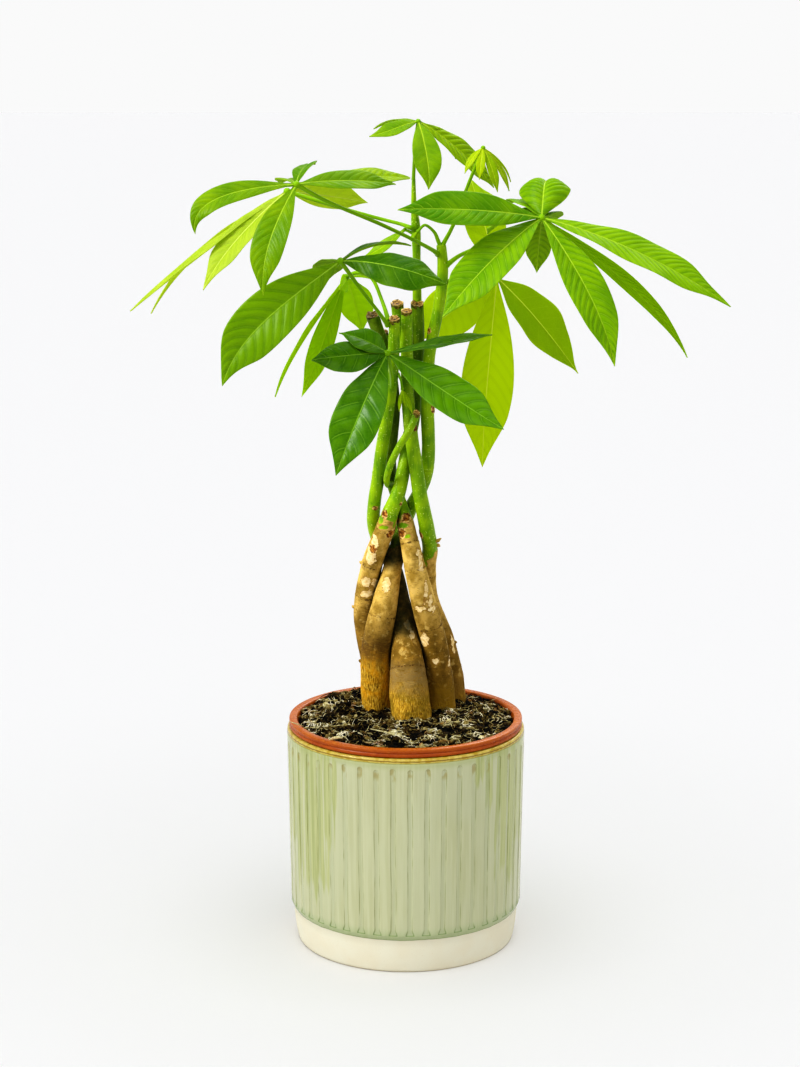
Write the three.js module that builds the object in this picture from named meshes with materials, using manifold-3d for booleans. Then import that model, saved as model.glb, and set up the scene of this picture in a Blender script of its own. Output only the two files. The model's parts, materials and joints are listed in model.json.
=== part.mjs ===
// Potted money tree (Pachira aquatica): five plaited trunks with palmate leaves, planted in a
// plastic nursery pot whose rim rests on the rim of a grooved, glazed cover pot.
// Millimetres, +Z up. The origin is the centre of the cover pot's flat underside.
import * as THREE from 'three';
import { mergeVertices } from 'three/addons/utils/BufferGeometryUtils.js';
import Module from 'manifold-3d';

const wasm = await Module();
wasm.setup();

// ---------------------------------------------------------------- driving dimensions
const GAP = 0.3; // clearance between pieces that touch

const COVER_HEIGHT = 113.4; // glazed cover pot, underside to rim
const COVER_RADIUS = 61.2; // outside, just under the rim
const COVER_TAPER = 1.4; // how much narrower the wall is at its lower end
const COVER_WALL = 4.6;
const COVER_FLOOR = 6;
const GLAZE_EDGE = 18; // the foot below this height is bare clay
const GROOVES = 45;
const GROOVE_DEPTH = 0.8;
const GROOVE_FROM = 20.5;
const GROOVE_TO = 107.6;
const GROOVE_FADE = 2.2; // height over which a groove runs out at its ends

const NURSERY_RADIUS = 60; // outside of the rim: a 12 cm nursery pot
const NURSERY_LIP = 4.3; // height of the folded rim
const NURSERY_WALL = 1.2;
const NURSERY_BASE_RADIUS = 43;
const NURSERY_BASE = 12; // height of its underside inside the cover pot
const DRAIN_HOLES = 8;
const DRAIN_HOLE_RADIUS = 3.5;
const NURSERY_FACETS = 36; // the soil inside has the same number

const SOIL_EDGE = 115.2; // soil height at the nursery pot's wall
const SOIL_MOUND = 2.4; // rise towards the trunks
const SOIL_ROUGHNESS = 1.1;

const TRUNK_SIDES = 9;
const PETIOLE_SIDES = 6;
const BLADE_THICKNESS = 0.7;
const BLADE_STATIONS = [0, 0.16, 0.34, 0.52, 0.7, 0.87, 1];
const SMALL_BLADE_STATIONS = [0, 0.3, 0.6, 0.86, 1];
const SMALL_BLADE_WIDTH = 8; // leaflets up to this width take the fewer stations

// ---------------------------------------------------------------- solids
const material = (color, roughness) =>
  new THREE.MeshStandardMaterial({ color, roughness, metalness: 0 });

function toSolid(geometry) {
  const bare = geometry.clone();
  bare.deleteAttribute('normal');
  bare.deleteAttribute('uv');
  const merged = mergeVertices(bare, 1e-4);
  return new wasm.Manifold(new wasm.Mesh({
    numProp: 3,
    vertProperties: new Float32Array(merged.attributes.position.array),
    triVerts: new Uint32Array(merged.index.array),
  }));
}

function toGeometry(solid) {
  const { vertProperties, triVerts } = solid.getMesh();
  const geometry = new THREE.BufferGeometry();
  geometry.setAttribute('position', new THREE.BufferAttribute(vertProperties, 3));
  geometry.setIndex(new THREE.BufferAttribute(triVerts, 1));
  return geometry;
}

const join = (geometries) =>
  toGeometry(geometries.map(toSolid).reduce((whole, piece) => whole.add(piece)));

function indexed(points, faces) {
  const geometry = new THREE.BufferGeometry();
  geometry.setAttribute('position', new THREE.Float32BufferAttribute(points.flat(), 3));
  geometry.setIndex(faces);
  return geometry;
}

// Closed skin over rings of equally many points, with a flat fan over the first and last ring.
function skin(rings) {
  const count = rings[0].length;
  const points = rings.flat();
  const faces = [];
  for (let ring = 0; ring < rings.length - 1; ring += 1) {
    for (let side = 0; side < count; side += 1) {
      const a = ring * count + side;
      const b = ring * count + ((side + 1) % count);
      faces.push(a, b, b + count, a, b + count, a + count);
    }
  }
  const last = (rings.length - 1) * count;
  for (let side = 1; side < count - 1; side += 1) {
    faces.push(0, side + 1, side);
    faces.push(last, last + side, last + side + 1);
  }
  return indexed(points, faces);
}

// Repeatable pseudo-random numbers from 0 to 1.
function seededRandom(seed) {
  let state = seed;
  return () => {
    state = (state * 1664525 + 1013904223) % 4294967296;
    return state / 4294967296;
  };
}

// ---------------------------------------------------------------- cover pot
// Outside of the pot: a rounded foot, a wall that widens slightly upwards and a rounded rim.
const coverOutline = [
  [54, 0], [56.3, 1.5], [57.8, 9], [58.4, GLAZE_EDGE - 0.3], [59.1, GLAZE_EDGE + 0.6],
  [COVER_RADIUS - COVER_TAPER, GROOVE_FROM + GROOVE_FADE],
  [COVER_RADIUS, GROOVE_TO - GROOVE_FADE], [COVER_RADIUS, GROOVE_TO],
  [COVER_RADIUS - 0.6, COVER_HEIGHT],
];

function coverPot() {
  const pitch = (2 * Math.PI) / GROOVES;
  const corners = [-0.13, 0, 0.13]; // shares of the pitch, about a groove's centre
  const rings = coverOutline.map(([radius, height]) => {
    const grooved = height > GROOVE_FROM && height < GROOVE_TO;
    const ring = [];
    for (let groove = 0; groove < GROOVES; groove += 1) {
      corners.forEach((corner, place) => {
        const angle = (groove + corner) * pitch;
        const reach = radius - (grooved && place === 1 ? GROOVE_DEPTH : 0);
        ring.push([reach * Math.cos(angle), reach * Math.sin(angle), height]);
      });
    }
    return ring;
  });
  const inner = COVER_RADIUS - COVER_WALL;
  const hollow = new THREE.LatheGeometry([
    new THREE.Vector2(0, COVER_FLOOR),
    new THREE.Vector2(inner - 6, COVER_FLOOR),
    new THREE.Vector2(inner - 1, COVER_FLOOR + 5),
    new THREE.Vector2(inner, COVER_FLOOR + 20),
    new THREE.Vector2(inner, COVER_HEIGHT + 1),
    new THREE.Vector2(0, COVER_HEIGHT + 1),
  ], 48).rotateX(Math.PI / 2);
  return toGeometry(toSolid(skin(rings)).subtract(toSolid(hollow)));
}

// ---------------------------------------------------------------- nursery pot
const lipFoot = COVER_HEIGHT + GAP;
const lipTop = lipFoot + NURSERY_LIP;
const nurseryMouth = 56.2; // inside radius at the top
const nurseryInside = (height) => {
  const foot = NURSERY_BASE_RADIUS - NURSERY_WALL;
  const share = (height - NURSERY_BASE) / (lipTop - NURSERY_BASE);
  return foot + share * (nurseryMouth - foot);
};

function nurseryPot() {
  const outside = (height) => nurseryInside(height) + NURSERY_WALL;
  const profile = [
    [0, NURSERY_BASE], [outside(NURSERY_BASE), NURSERY_BASE],
    [outside(lipFoot - 8), lipFoot - 8], [outside(lipFoot - 8), lipTop - 2],
    [NURSERY_RADIUS - NURSERY_WALL, lipTop - 1.4], [NURSERY_RADIUS - NURSERY_WALL, lipFoot],
    [NURSERY_RADIUS - 0.2, lipFoot], [NURSERY_RADIUS, lipFoot + 1.4],
    [NURSERY_RADIUS - 0.4, lipFoot + 2], [NURSERY_RADIUS, lipFoot + 2.6],
    [NURSERY_RADIUS - 0.3, lipTop - 0.7], [NURSERY_RADIUS - 1.2, lipTop],
    [nurseryMouth + 0.6, lipTop], [nurseryMouth - 0.6, lipTop - 0.8],
    [nurseryInside(lipFoot - 8), lipFoot - 8],
    [nurseryInside(NURSERY_BASE + NURSERY_WALL), NURSERY_BASE + NURSERY_WALL],
    [0, NURSERY_BASE + NURSERY_WALL],
  ];
  const points = profile.map(([radius, height]) => new THREE.Vector2(radius, height));
  let pot = toSolid(new THREE.LatheGeometry(points, NURSERY_FACETS).rotateX(Math.PI / 2));
  for (let hole = 0; hole < DRAIN_HOLES; hole += 1) {
    const angle = (hole * 2 * Math.PI) / DRAIN_HOLES;
    const drill = new THREE.CylinderGeometry(DRAIN_HOLE_RADIUS, DRAIN_HOLE_RADIUS, 6, 6)
      .rotateX(Math.PI / 2)
      .translate(30 * Math.cos(angle), 30 * Math.sin(angle), NURSERY_BASE);
    pot = pot.subtract(toSolid(drill));
  }
  return toGeometry(pot);
}

// ---------------------------------------------------------------- stems
// Smooth curve through rows of numbers, such as [x, y, z, radius].
function through(rows, place) {
  const span = Math.min(Math.floor(place), rows.length - 2);
  const t = place - span;
  const before = rows[Math.max(span - 1, 0)];
  const from = rows[span];
  const to = rows[span + 1];
  const after = rows[Math.min(span + 2, rows.length - 1)];
  return from.map((value, i) => 0.5 * (2 * value + (to[i] - before[i]) * t
    + (2 * before[i] - 5 * value + 4 * to[i] - after[i]) * t * t
    + (3 * value - before[i] - 3 * to[i] + after[i]) * t * t * t));
}

// Round stem of changing thickness along rows of [x, y, z, radius].
function stem(rows, sides, stepsPerSpan, extra = 0) {
  const stations = [];
  const count = (rows.length - 1) * stepsPerSpan;
  for (let step = 0; step <= count; step += 1) {
    const [x, y, z, radius] = through(rows, step / stepsPerSpan);
    stations.push({ centre: new THREE.Vector3(x, y, z), radius: radius + extra });
  }
  const along = stations.map(({ centre }, i) => {
    const next = stations[Math.min(i + 1, count)].centre;
    const previous = stations[Math.max(i - 1, 0)].centre;
    return next.clone().sub(previous).normalize();
  });
  const first = stations[0];
  first.centre.addScaledVector(along[0], -extra);
  stations[count].centre.addScaledVector(along[count], extra);
  let side = new THREE.Vector3(1, 0, 0.01).cross(along[0]).normalize();
  const rings = stations.map(({ centre, radius }, i) => {
    side = side.clone().addScaledVector(along[i], -side.dot(along[i])).normalize();
    const other = along[i].clone().cross(side);
    return Array.from({ length: sides }, (_, corner) => {
      const angle = (corner * 2 * Math.PI) / sides;
      return centre.clone()
        .addScaledVector(side, radius * Math.cos(angle))
        .addScaledVector(other, radius * Math.sin(angle))
        .toArray();
    });
  });
  return skin(rings);
}

// The five trunks of the plait, each from its buried root end to its cut top or growing tip.
// Rows of [x, y, z, radius]. A strand's branches start inside it.
const strands = {
  trunk_1: {
    main: [
      [-11, 35, 88, 4.5], [-12, 35, 106, 6.6], [-13.5, 33.5, 124, 6.5], [-18, 29, 146, 6.5],
      [-20.5, 24, 166, 6.4], [-19.5, 19.5, 181, 5.8], [-16.5, 12.5, 198, 5.1], [-11, 5.5, 214, 4.7],
      [-8, 2, 224, 4.2], [-4, 1.5, 234, 3.7], [-1, 4, 247, 3.4], [1.5, 10, 260, 3.4],
      [4.5, 14, 275, 3.3], [6, 14.5, 295, 3.2], [6.2, 13.5, 315, 3.2], [5.6, 12.5, 330, 3.2],
    ],
    branches: [[
      [5.8, 15, 308, 1.8], [5.8, 17, 322, 2.2], [5.6, 16.5, 338, 2.2], [5.4, 13, 352, 2],
      [5, 11, 367, 2.3], [4, 10, 379, 1.4], [3.8, 9.5, 392, 0.9],
    ]],
  },
  trunk_2: {
    main: [
      [-12, 18, 88, 4.5], [-13.5, 17, 104, 7], [-15, 15.5, 120, 7.4], [-15.5, 13.5, 138, 7.8],
      [-14.3, 12, 156, 7.6], [-10.5, 12, 176, 6.2], [-7, 12.5, 192, 4.7], [-4.5, 13.5, 203, 4.1],
      [-2, 15.5, 213, 3.8], [2, 16, 223, 3.6], [7, 13, 233, 3.4], [10.5, 9, 244, 3.4],
      [11.5, 7, 257, 3.4], [11, 6, 272, 3.4], [10.7, 6, 287, 3.4], [11.5, 7, 302, 3.1],
      [13.8, 8, 315, 2.9], [16.2, 8, 327, 2.8], [18, 8, 340, 2.8], [18.4, 8, 350, 2.7],
      [17.6, 8, 359, 2.4],
    ],
    branches: [],
  },
  trunk_3: {
    main: [
      [4, -1, 86, 5.5], [4, -1.5, 104, 9.4], [3.5, -1, 118, 9.6], [2.5, 0.5, 128, 9.2],
      [1.5, 4.5, 142, 7.7], [0.2, 13.5, 158, 6], [-2, 21, 174, 4.8], [-4, 24, 184, 4.3],
      [-8, 25, 195, 4], [-14, 21, 206, 3.6], [-16.5, 14.5, 217, 3.4], [-15.8, 9, 230, 3.3],
      [-14, 6, 242, 3.3], [-12, 4, 257, 3.3], [-10, 1.5, 270, 3.2], [-8, 0, 284, 3.1],
      [-6.6, -1, 298, 3], [-6, -1.5, 311, 2.9], [-5.6, -2, 324, 2.7],
    ],
    branches: [],
  },
  trunk_4: {
    main: [
      [17, 17, 88, 5], [18, 16.5, 104, 7.6], [18, 16, 118, 7.8], [16.8, 14, 134, 7.6],
      [14.2, 11, 155, 6.7], [9, 7, 177, 6.1], [5, 4, 194, 5.3], [1.8, 4, 209, 4.5],
      [-0.5, 6.5, 220, 4], [-3.5, 11, 229, 3.5], [-7, 13.5, 239, 3.2], [-8, 13, 250, 3.1],
      [-7, 11, 263, 3.1], [-6, 9, 276, 3.1], [-7, 8.5, 291, 3], [-10.5, 10, 306, 3],
      [-14.5, 12, 317, 3], [-17.5, 13, 324, 3],
    ],
    branches: [
      [[-9, 12, 296, 1.6], [-9.5, 15, 304, 2], [-10.8, 17.5, 315, 1.8]],
      [
        [-7, 11, 238, 1.2], [-9, 5, 238, 1.5], [-9.6, -1, 243, 1.7], [-7.5, -5.5, 251, 1.8],
        [-3.4, -7.5, 260, 1.8], [2.1, -7.5, 269, 1.8], [5.6, -5.5, 277, 2],
      ],
    ],
  },
  trunk_5: {
    main: [
      [24, 33, 88, 4.5], [24.6, 32, 104, 7.2], [24.4, 31, 116, 7.3], [23, 30, 130, 7.2],
      [18.6, 28, 151, 6.6], [11.8, 24.5, 174, 5], [11.2, 19, 191, 4.2], [12.4, 13, 203, 3.9],
      [11.2, 7, 213, 3.9], [9.4, 2.5, 223, 3.8], [7.4, -0.5, 233, 3.7], [5.4, -1.5, 247, 3.6],
      [3.2, -1, 261, 3.4], [1.6, 1.5, 275, 3.3], [0.8, 4, 288, 3.2], [0.6, 5.5, 302, 3.1],
      [0.4, 5, 315, 2.9], [0.4, 4.5, 327, 2.8],
    ],
    branches: [[[-0.5, 8, 306, 1.8], [-2.8, 12, 314, 2.7], [-4.6, 13, 329, 2.7]]],
  },
};

function strand({ main, branches }) {
  const trunk = stem(main, TRUNK_SIDES, 2);
  return branches.length ? join([trunk, ...branches.map((rows) => stem(rows, 7, 2))]) : trunk;
}

// ---------------------------------------------------------------- soil
function soil(trunks) {
  const random = seededRandom(7);
  const ringCount = 7;
  const edge = nurseryInside(SOIL_EDGE - 5) - GAP - 0.4;
  const foot = NURSERY_BASE + NURSERY_WALL + GAP;
  const around = (radius, height) => Array.from({ length: NURSERY_FACETS }, (_, sector) => {
    const angle = (sector * 2 * Math.PI) / NURSERY_FACETS;
    return [radius * Math.cos(angle), radius * Math.sin(angle), height];
  });
  const rings = [around(nurseryInside(foot) - GAP, foot), around(edge, SOIL_EDGE - 6)];
  for (let ring = ringCount; ring > 0; ring -= 1) {
    const radius = (edge * ring) / ringCount;
    const rise = SOIL_MOUND * Math.cos((0.5 * Math.PI * ring) / ringCount);
    const bumps = around(radius, SOIL_EDGE + rise);
    bumps.forEach((point) => {
      point[2] += SOIL_ROUGHNESS * (2 * random() - 1);
    });
    rings.push(bumps);
  }
  let body = toSolid(skin(rings));
  trunks.forEach(({ main }) => {
    body = body.subtract(toSolid(stem(main, TRUNK_SIDES, 2, GAP + 0.1)));
  });
  return toGeometry(body);
}

// ---------------------------------------------------------------- leaves
// Half width along a leaflet, from 0 at its foot to 1 at its widest to 0 at its pointed tip.
const outline = (share, widest) => {
  const swell = 1.15;
  const taper = (swell * (1 - widest)) / widest;
  return (share / widest) ** swell * ((1 - share) / (1 - widest)) ** taper;
};

// One leaflet, from the leaf's hub to the point `to`. `rise` lifts the middle of its rib off the
// straight line, towards `face`, the side that its upper surface looks to. `fold` lifts its two
// edges, `hook` bends its tip away and `widest` is the share of its length where it is widest.
function leaflet({
  to, width, face = [0, 0, 1], rise = 6, fold = 0.16, hook = [0, 0, 0], widest = 0.56,
}) {
  const tip = new THREE.Vector3(...to);
  const bend = new THREE.Vector3(...hook);
  const chord = tip.clone().normalize();
  const up = new THREE.Vector3(...face);
  up.addScaledVector(chord, -up.dot(chord)).normalize();
  const rib = (s) => tip.clone().multiplyScalar(s)
    .addScaledVector(up, 4 * rise * s * (1 - s))
    .addScaledVector(bend, s ** 4 - s);
  const stations = width > SMALL_BLADE_WIDTH ? BLADE_STATIONS : SMALL_BLADE_STATIONS;
  const rings = stations.map((s) => {
    const along = rib(s + 0.01).sub(rib(s - 0.01)).normalize();
    const across = along.clone().cross(up).normalize();
    const normal = across.clone().cross(along);
    const least = s < 0.5 ? Math.min(1, 0.12 * width) : 0.4;
    const half = Math.max(0.5 * width * outline(s, widest), least);
    const thick = 0.5 * (s < 0.1 ? 1.4 : BLADE_THICKNESS);
    const corner = (side, layer) => rib(s)
      .addScaledVector(across, side * half)
      .addScaledVector(normal, fold * Math.abs(side) * half + layer * thick)
      .toArray();
    return [corner(-1, 1), corner(0, 1), corner(1, 1), corner(1, -1), corner(0, -1), corner(-1, -1)];
  });
  return skin(rings);
}

// A leaf: its leaflets spread from a small hub at the end of the leaf stalk.
// `stalk` is rows of [x, y, z, radius] from the stem to the hub.
const leaves = {
  leaf_left: {
    stalk: [
      [15.4, 5.6, 355.5, 1.3], [12, -3.5, 358.5, 1], [3, -12.5, 364, 0.9], [-13, -23.5, 372.5, 0.9],
      [-36.5, -37, 383.5, 0.9], [-52, -44, 392.5, 1.1],
    ],
    leaflets: [
      { to: [-47, -16, -22], width: 14, rise: 5, face: [0, -0.75, 0.7], hook: [19.5, 0, -8] },
      { to: [-15, -23, -50], width: 16.5, rise: 4, face: [-0.2, -1, 0.4], hook: [6, 0, -3] },
      { to: [47, 18, -1], width: 14.5, rise: 2, face: [0, -0.6, 0.8] },
      { to: [54, 33, 1], width: 13.5, rise: 2, face: [0, -0.6, 1], widest: 0.68 },
      { to: [8, 29, 8], width: 11, rise: 3, face: [-0.4, -0.3, 1] },
      { to: [-9, 23, -1], width: 11, rise: 2 },
    ],
  },
  leaf_left_low: {
    stalk: [
      [2, 8, 368, 1.2], [-3, 12, 369.5, 0.9], [-18, 16, 373, 0.9], [-37.5, 17, 378.5, 0.9],
      [-59.5, 20, 385, 1.1],
    ],
    leaflets: [
      { to: [-78, -18, -58], width: 15.5, rise: 1 },
      { to: [-71, 14, -63], width: 14.5, rise: 1, hook: [3, 0, -12.5] },
      { to: [-41, -23, -47], width: 16.5, rise: 2, face: [-0.4, -0.7, 0.6], hook: [2, 0, -4] },
      { to: [40, 20, -7], width: 14.5, rise: 2, face: [0, 1, 0.25] },
    ],
  },
  leaf_middle: {
    stalk: [
      [-9.6, -3.6, 321.5, 1.2], [-14, -14, 329, 0.9], [-22.5, -25, 341.5, 0.9],
      [-31.5, -36, 355.5, 1.1],
    ],
    leaflets: [
      { to: [-57, -10, -59], width: 26.5, rise: 2, face: [-0.1, -1, 0.3], hook: [10, 0, -9] },
      { to: [51, -14, -10], width: 19.5, rise: 5, face: [0, -0.75, 0.65], fold: -0.25 },
      { to: [34, 16, 6], width: 12, rise: 4, face: [0, 0.1, 1] },
      { to: [-9, 27, -14], width: 16.5, rise: 4 },
    ],
  },
  leaf_middle_low: {
    stalk: [
      [-9, 0.4, 323.5, 1.2], [-12, 8.5, 331.5, 0.9], [-17, 14, 342, 0.9], [-24.5, 18.5, 344.5, 0.9],
      [-30.5, 24, 341.5, 1.1],
    ],
    leaflets: [
      { to: [-36, -8, -60], width: 15.5, rise: 0, face: [-0.9, 0.1, 0.5], hook: [3, 0, -5] },
      { to: [-23, 6, -62], width: 12, rise: 1, face: [-0.2, -1, 0.1], hook: [-2, 0, 0] },
      { to: [8, 24, -31], width: 18.5, rise: 4, face: [0, 0.78, 0.62] },
      { to: [19, 14, -5], width: 10, rise: 2 },
      { to: [-3, -19, -4], width: 9, rise: 1, face: [1, 0, 0.3] },
    ],
  },
  leaf_front: {
    stalk: [[-6.8, -5, 291, 1.3], [-7, -12, 297, 1], [-8, -18, 303, 1], [-9, -22, 309, 1.2]],
    leaflets: [
      { to: [-24, 8, 9], width: 15.5, rise: 2, face: [0.1, -0.6, 0.8], widest: 0.44 },
      { to: [-37, -10, -2], width: 19, rise: 1, face: [0, -0.7, 0.7], fold: -0.1 },
      { to: [-25, -26, -56], width: 24, rise: 5, face: [-0.1, -0.85, 0.4] },
      { to: [56, -28, -33], width: 21, rise: 1, face: [0.1, -0.9, 0.5], hook: [0, 0, 2] },
      { to: [51, -6, 10], width: 14, rise: 0, face: [0, -0.25, 1] },
    ],
  },
  leaf_right: {
    stalk: [
      [21.6, 5.8, 350.5, 1.3], [27, 0, 355, 1], [36, -12, 360, 1], [55, -28, 368, 1],
      [65, -34, 376, 1.2],
    ],
    leaflets: [
      { to: [-69, -28, 6], width: 20, rise: 3, face: [0, -0.8, 0.6] },
      { to: [-48, -32, -44], width: 24, rise: 5, face: [-0.2, -0.8, 0.6] },
      { to: [34, -26, -68], width: 20, rise: 4, face: [0.3, -0.9, 0.3], hook: [-4, 0, -4] },
      { to: [91, -6, -42], width: 20, rise: 6, face: [0.1, -0.6, 0.8] },
      { to: [73, 12, -69], width: 13, rise: 1, face: [0.3, -0.7, 0.8], hook: [-7, 0, -8] },
      { to: [6, 40, 2], width: 25, rise: 15, fold: 0.08, widest: 0.32 },
      { to: [8, 34, -5], width: 14, rise: 3 },
      { to: [-15, 35, 4], width: 14, rise: 4 },
      { to: [-25, 28, -10], width: 18, rise: 4, face: [-0.2, -0.3, 1] },
      { to: [-1, 18, -28], width: 13, rise: 3, face: [0, 1, 0.3] },
    ],
  },
  leaf_right_low: {
    stalk: [[21.2, 9.6, 341, 1.2], [27, 16, 342, 1], [37.5, 19.5, 343, 1], [46, 20, 341.5, 1.2]],
    leaflets: [
      { to: [-7, -10, -95], width: 26.5, rise: 2, face: [0, -1, 0], hook: [2, 0, 0] },
      { to: [42, 4, -49], width: 25.5, rise: 4, face: [0.5, -0.8, 0.4], hook: [2, 0, 0], widest: 0.48 },
      { to: [-41, 35, -36], width: 27.5, rise: 2, face: [0.3, 0.9, 0.4] },
      { to: [-13, 27, 48], width: 21.5, rise: 3, face: [0.2, -0.9, 0.3] },
    ],
  },
  leaf_top: {
    stalk: [[3.8, 9.4, 393.2, 0.9], [4.5, 8.5, 408, 0.8], [6, 8, 420, 0.9]],
    hub: 1.4,
    leaflets: [
      { to: [-24, -8, -7], width: 10, rise: 1.5, face: [0, -0.6, 0.8], hook: [-3, 0, 2] },
      { to: [-22, 8, -4], width: 9, rise: 2 },
      { to: [5, -20, -32], width: 14, rise: 3, face: [0.1, -0.9, 0.3], hook: [-2.5, 0, 0] },
      { to: [38, 10, -33], width: 16, rise: 3, face: [0.3, -0.6, 0.7] },
      { to: [19, 14, -19], width: 11, rise: 3, face: [0.3, 0, 1] },
    ],
  },
  leaf_young: {
    stalk: [[19.2, 7, 361, 1.1], [24, 2.5, 371, 0.9], [30, -3.5, 388.5, 0.8], [37.5, -10, 408, 0.9]],
    hub: 1.2,
    leaflets: [
      { to: [-9, -5, -12], width: 4, rise: 2, face: [-0.5, -0.8, 0.3] },
      { to: [-2, -7, -15], width: 4.5, rise: 2, face: [-0.1, -0.9, 0.3] },
      { to: [7, -6, -21], width: 5, rise: 2, face: [0.3, -0.9, 0.3] },
      { to: [13, 3, -21], width: 4.5, rise: 2, face: [0.6, -0.6, 0.5] },
      { to: [14, 9, -17], width: 4, rise: 2, face: [0.6, 0, 0.8] },
    ],
  },
  leaf_node: {
    stalk: [[2, 12.3, 365.5, 0.8], [0.8, 12.6, 366, 0.7], [-0.5, 13, 366.5, 0.7]],
    hub: 1,
    leaflets: [
      { to: [-21, 3, -14], width: 7, rise: 0, face: [-0.3, -0.7, 0.6], hook: [-2, 0, 2] },
    ],
  },
  leaf_bud: {
    stalk: [[16, 6.6, 361.6, 1], [14, 5.5, 366, 0.8], [9.5, 4, 369.5, 0.7], [6, 3, 366.5, 0.7]],
    hub: 1,
    leaflets: [
      { to: [-3.5, 1, -5], width: 3, rise: 0.5, face: [-0.8, -0.5, 0.3] },
      { to: [-0.5, 1.5, -7], width: 3, rise: 0.5, face: [0, -0.9, 0.3] },
    ],
  },
  leaf_sprout: {
    stalk: [[-3.4, -2.8, 295, 0.7], [-2.4, -5, 293, 0.6], [-1.8, -6.5, 289, 0.7]],
    hub: 0.9,
    leaflets: [
      { to: [-1.5, -3, -11], width: 2, rise: 1, face: [-0.3, -0.9, 0.2] },
      { to: [5, -2, -12], width: 2.4, rise: 1, face: [0.3, -0.9, 0.2] },
      { to: [1.5, -4.5, -8], width: 2, rise: 1, face: [0, -0.9, 0.3] },
    ],
  },
};

function leaf({ stalk, leaflets, hub = 1.9 }) {
  const end = stalk[stalk.length - 1].slice(0, 3);
  const knob = new THREE.SphereGeometry(hub, 6, 4).translate(...end);
  const blades = leaflets.map((shape) => leaflet(shape).translate(...end));
  return join([stem(stalk, PETIOLE_SIDES, 2), knob, ...blades]);
}

// ---------------------------------------------------------------- the assembled plant
const glaze = material(0xbfc9a0, 0.25);
const terracotta = material(0xb5532a, 0.6);
const peat = material(0x2f261d, 0.95);
const bark = material(0x9a7a3e, 0.8);
const leafGreen = material(0x4f9a12, 0.45);

const moneyTree = new THREE.Group();

function place(name, geometry, finish) {
  const mesh = new THREE.Mesh(geometry, finish);
  mesh.name = name;
  moneyTree.add(mesh);
}

place('cover_pot', coverPot(), glaze);
place('nursery_pot', nurseryPot(), terracotta);
place('soil', soil(Object.values(strands)), peat);
Object.entries(strands).forEach(([name, shape]) => place(name, strand(shape), bark));
Object.entries(leaves).forEach(([name, shape]) => place(name, leaf(shape), leafGreen));

export default moneyTree;
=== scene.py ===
# Potted money tree: five plaited trunks in a nursery pot that hangs by its rim in a glazed pot.
# The frame is in metres, +Z up; the pieces' own sizes below are in millimetres.
import json
import math
import random

import bmesh
import bpy
import numpy as np
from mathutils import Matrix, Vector, noise

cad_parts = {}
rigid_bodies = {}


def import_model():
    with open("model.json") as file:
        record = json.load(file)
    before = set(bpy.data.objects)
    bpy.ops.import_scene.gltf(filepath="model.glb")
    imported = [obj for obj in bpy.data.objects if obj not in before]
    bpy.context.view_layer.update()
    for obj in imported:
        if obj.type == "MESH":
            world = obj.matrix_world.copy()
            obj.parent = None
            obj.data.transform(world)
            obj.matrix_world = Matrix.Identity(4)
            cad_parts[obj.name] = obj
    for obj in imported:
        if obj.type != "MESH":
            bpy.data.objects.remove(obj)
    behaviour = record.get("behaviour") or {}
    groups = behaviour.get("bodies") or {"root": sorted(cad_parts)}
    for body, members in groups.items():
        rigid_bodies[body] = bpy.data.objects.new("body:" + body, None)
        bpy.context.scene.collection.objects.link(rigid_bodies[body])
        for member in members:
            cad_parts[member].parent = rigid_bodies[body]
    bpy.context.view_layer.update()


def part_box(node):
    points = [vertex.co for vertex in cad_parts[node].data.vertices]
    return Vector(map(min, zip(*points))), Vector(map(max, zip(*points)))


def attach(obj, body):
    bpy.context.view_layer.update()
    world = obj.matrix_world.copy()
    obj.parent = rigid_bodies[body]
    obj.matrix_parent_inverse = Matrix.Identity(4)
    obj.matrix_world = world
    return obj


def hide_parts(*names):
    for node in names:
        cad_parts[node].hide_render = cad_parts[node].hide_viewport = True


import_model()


# ------------------------------------------------------------------ glazed cover pot
# A turned ceramic pot. Forty-five channels were cut down its wall before it was dipped in a
# thick sage glaze, which breaks to ochre on sharp edges, pools green at its lower edge and
# leaves the foot as bare cream clay.
MM = 0.001
pot_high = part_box("cover_pot")[1]
pot_height = pot_high.z / MM
pot_radius = pot_high.x / MM
pot_wall = 4.6
pot_taper = 1.4
pot_floor = 6
glaze_edge = 18
channels = 45
channel_depth = 0.55
channel_half = 1.12
channel_from = 20.5
channel_to = 107.6
flare_height = 3.2
flare_width = 0.9
wall_unevenness = 0.12
channel_sway = 0.55


def turned(radii, heights, angles):
    """Points and faces of a closed turned body. Its rows run from its underside's centre, out
    over its skin, to the centre of its inner floor; radii holds one row of numbers for each."""
    rings = np.stack([radii * np.cos(angles), radii * np.sin(angles),
                      np.broadcast_to(heights[:, None], radii.shape)], axis=-1)
    return skin(rings)


def skin(rings):
    """Points and faces of a closed skin over rings of equally many points."""
    rows, count = rings.shape[:2]
    corner = np.arange(rows * count).reshape(rows, count)
    after = np.roll(corner, -1, axis=1)
    quads = np.stack([corner[:-1], after[:-1], after[1:], corner[1:]], axis=-1)
    faces = quads.reshape(-1, 4).tolist()
    faces.append(corner[0, ::-1].tolist())
    faces.append(corner[-1].tolist())
    return rings.reshape(-1, 3), faces


def smooth(low, high, value):
    """0 at low, 1 at high, with soft ends."""
    share = np.clip((value - low) / (high - low), 0, 1)
    return share * share * (3 - 2 * share)


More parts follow.
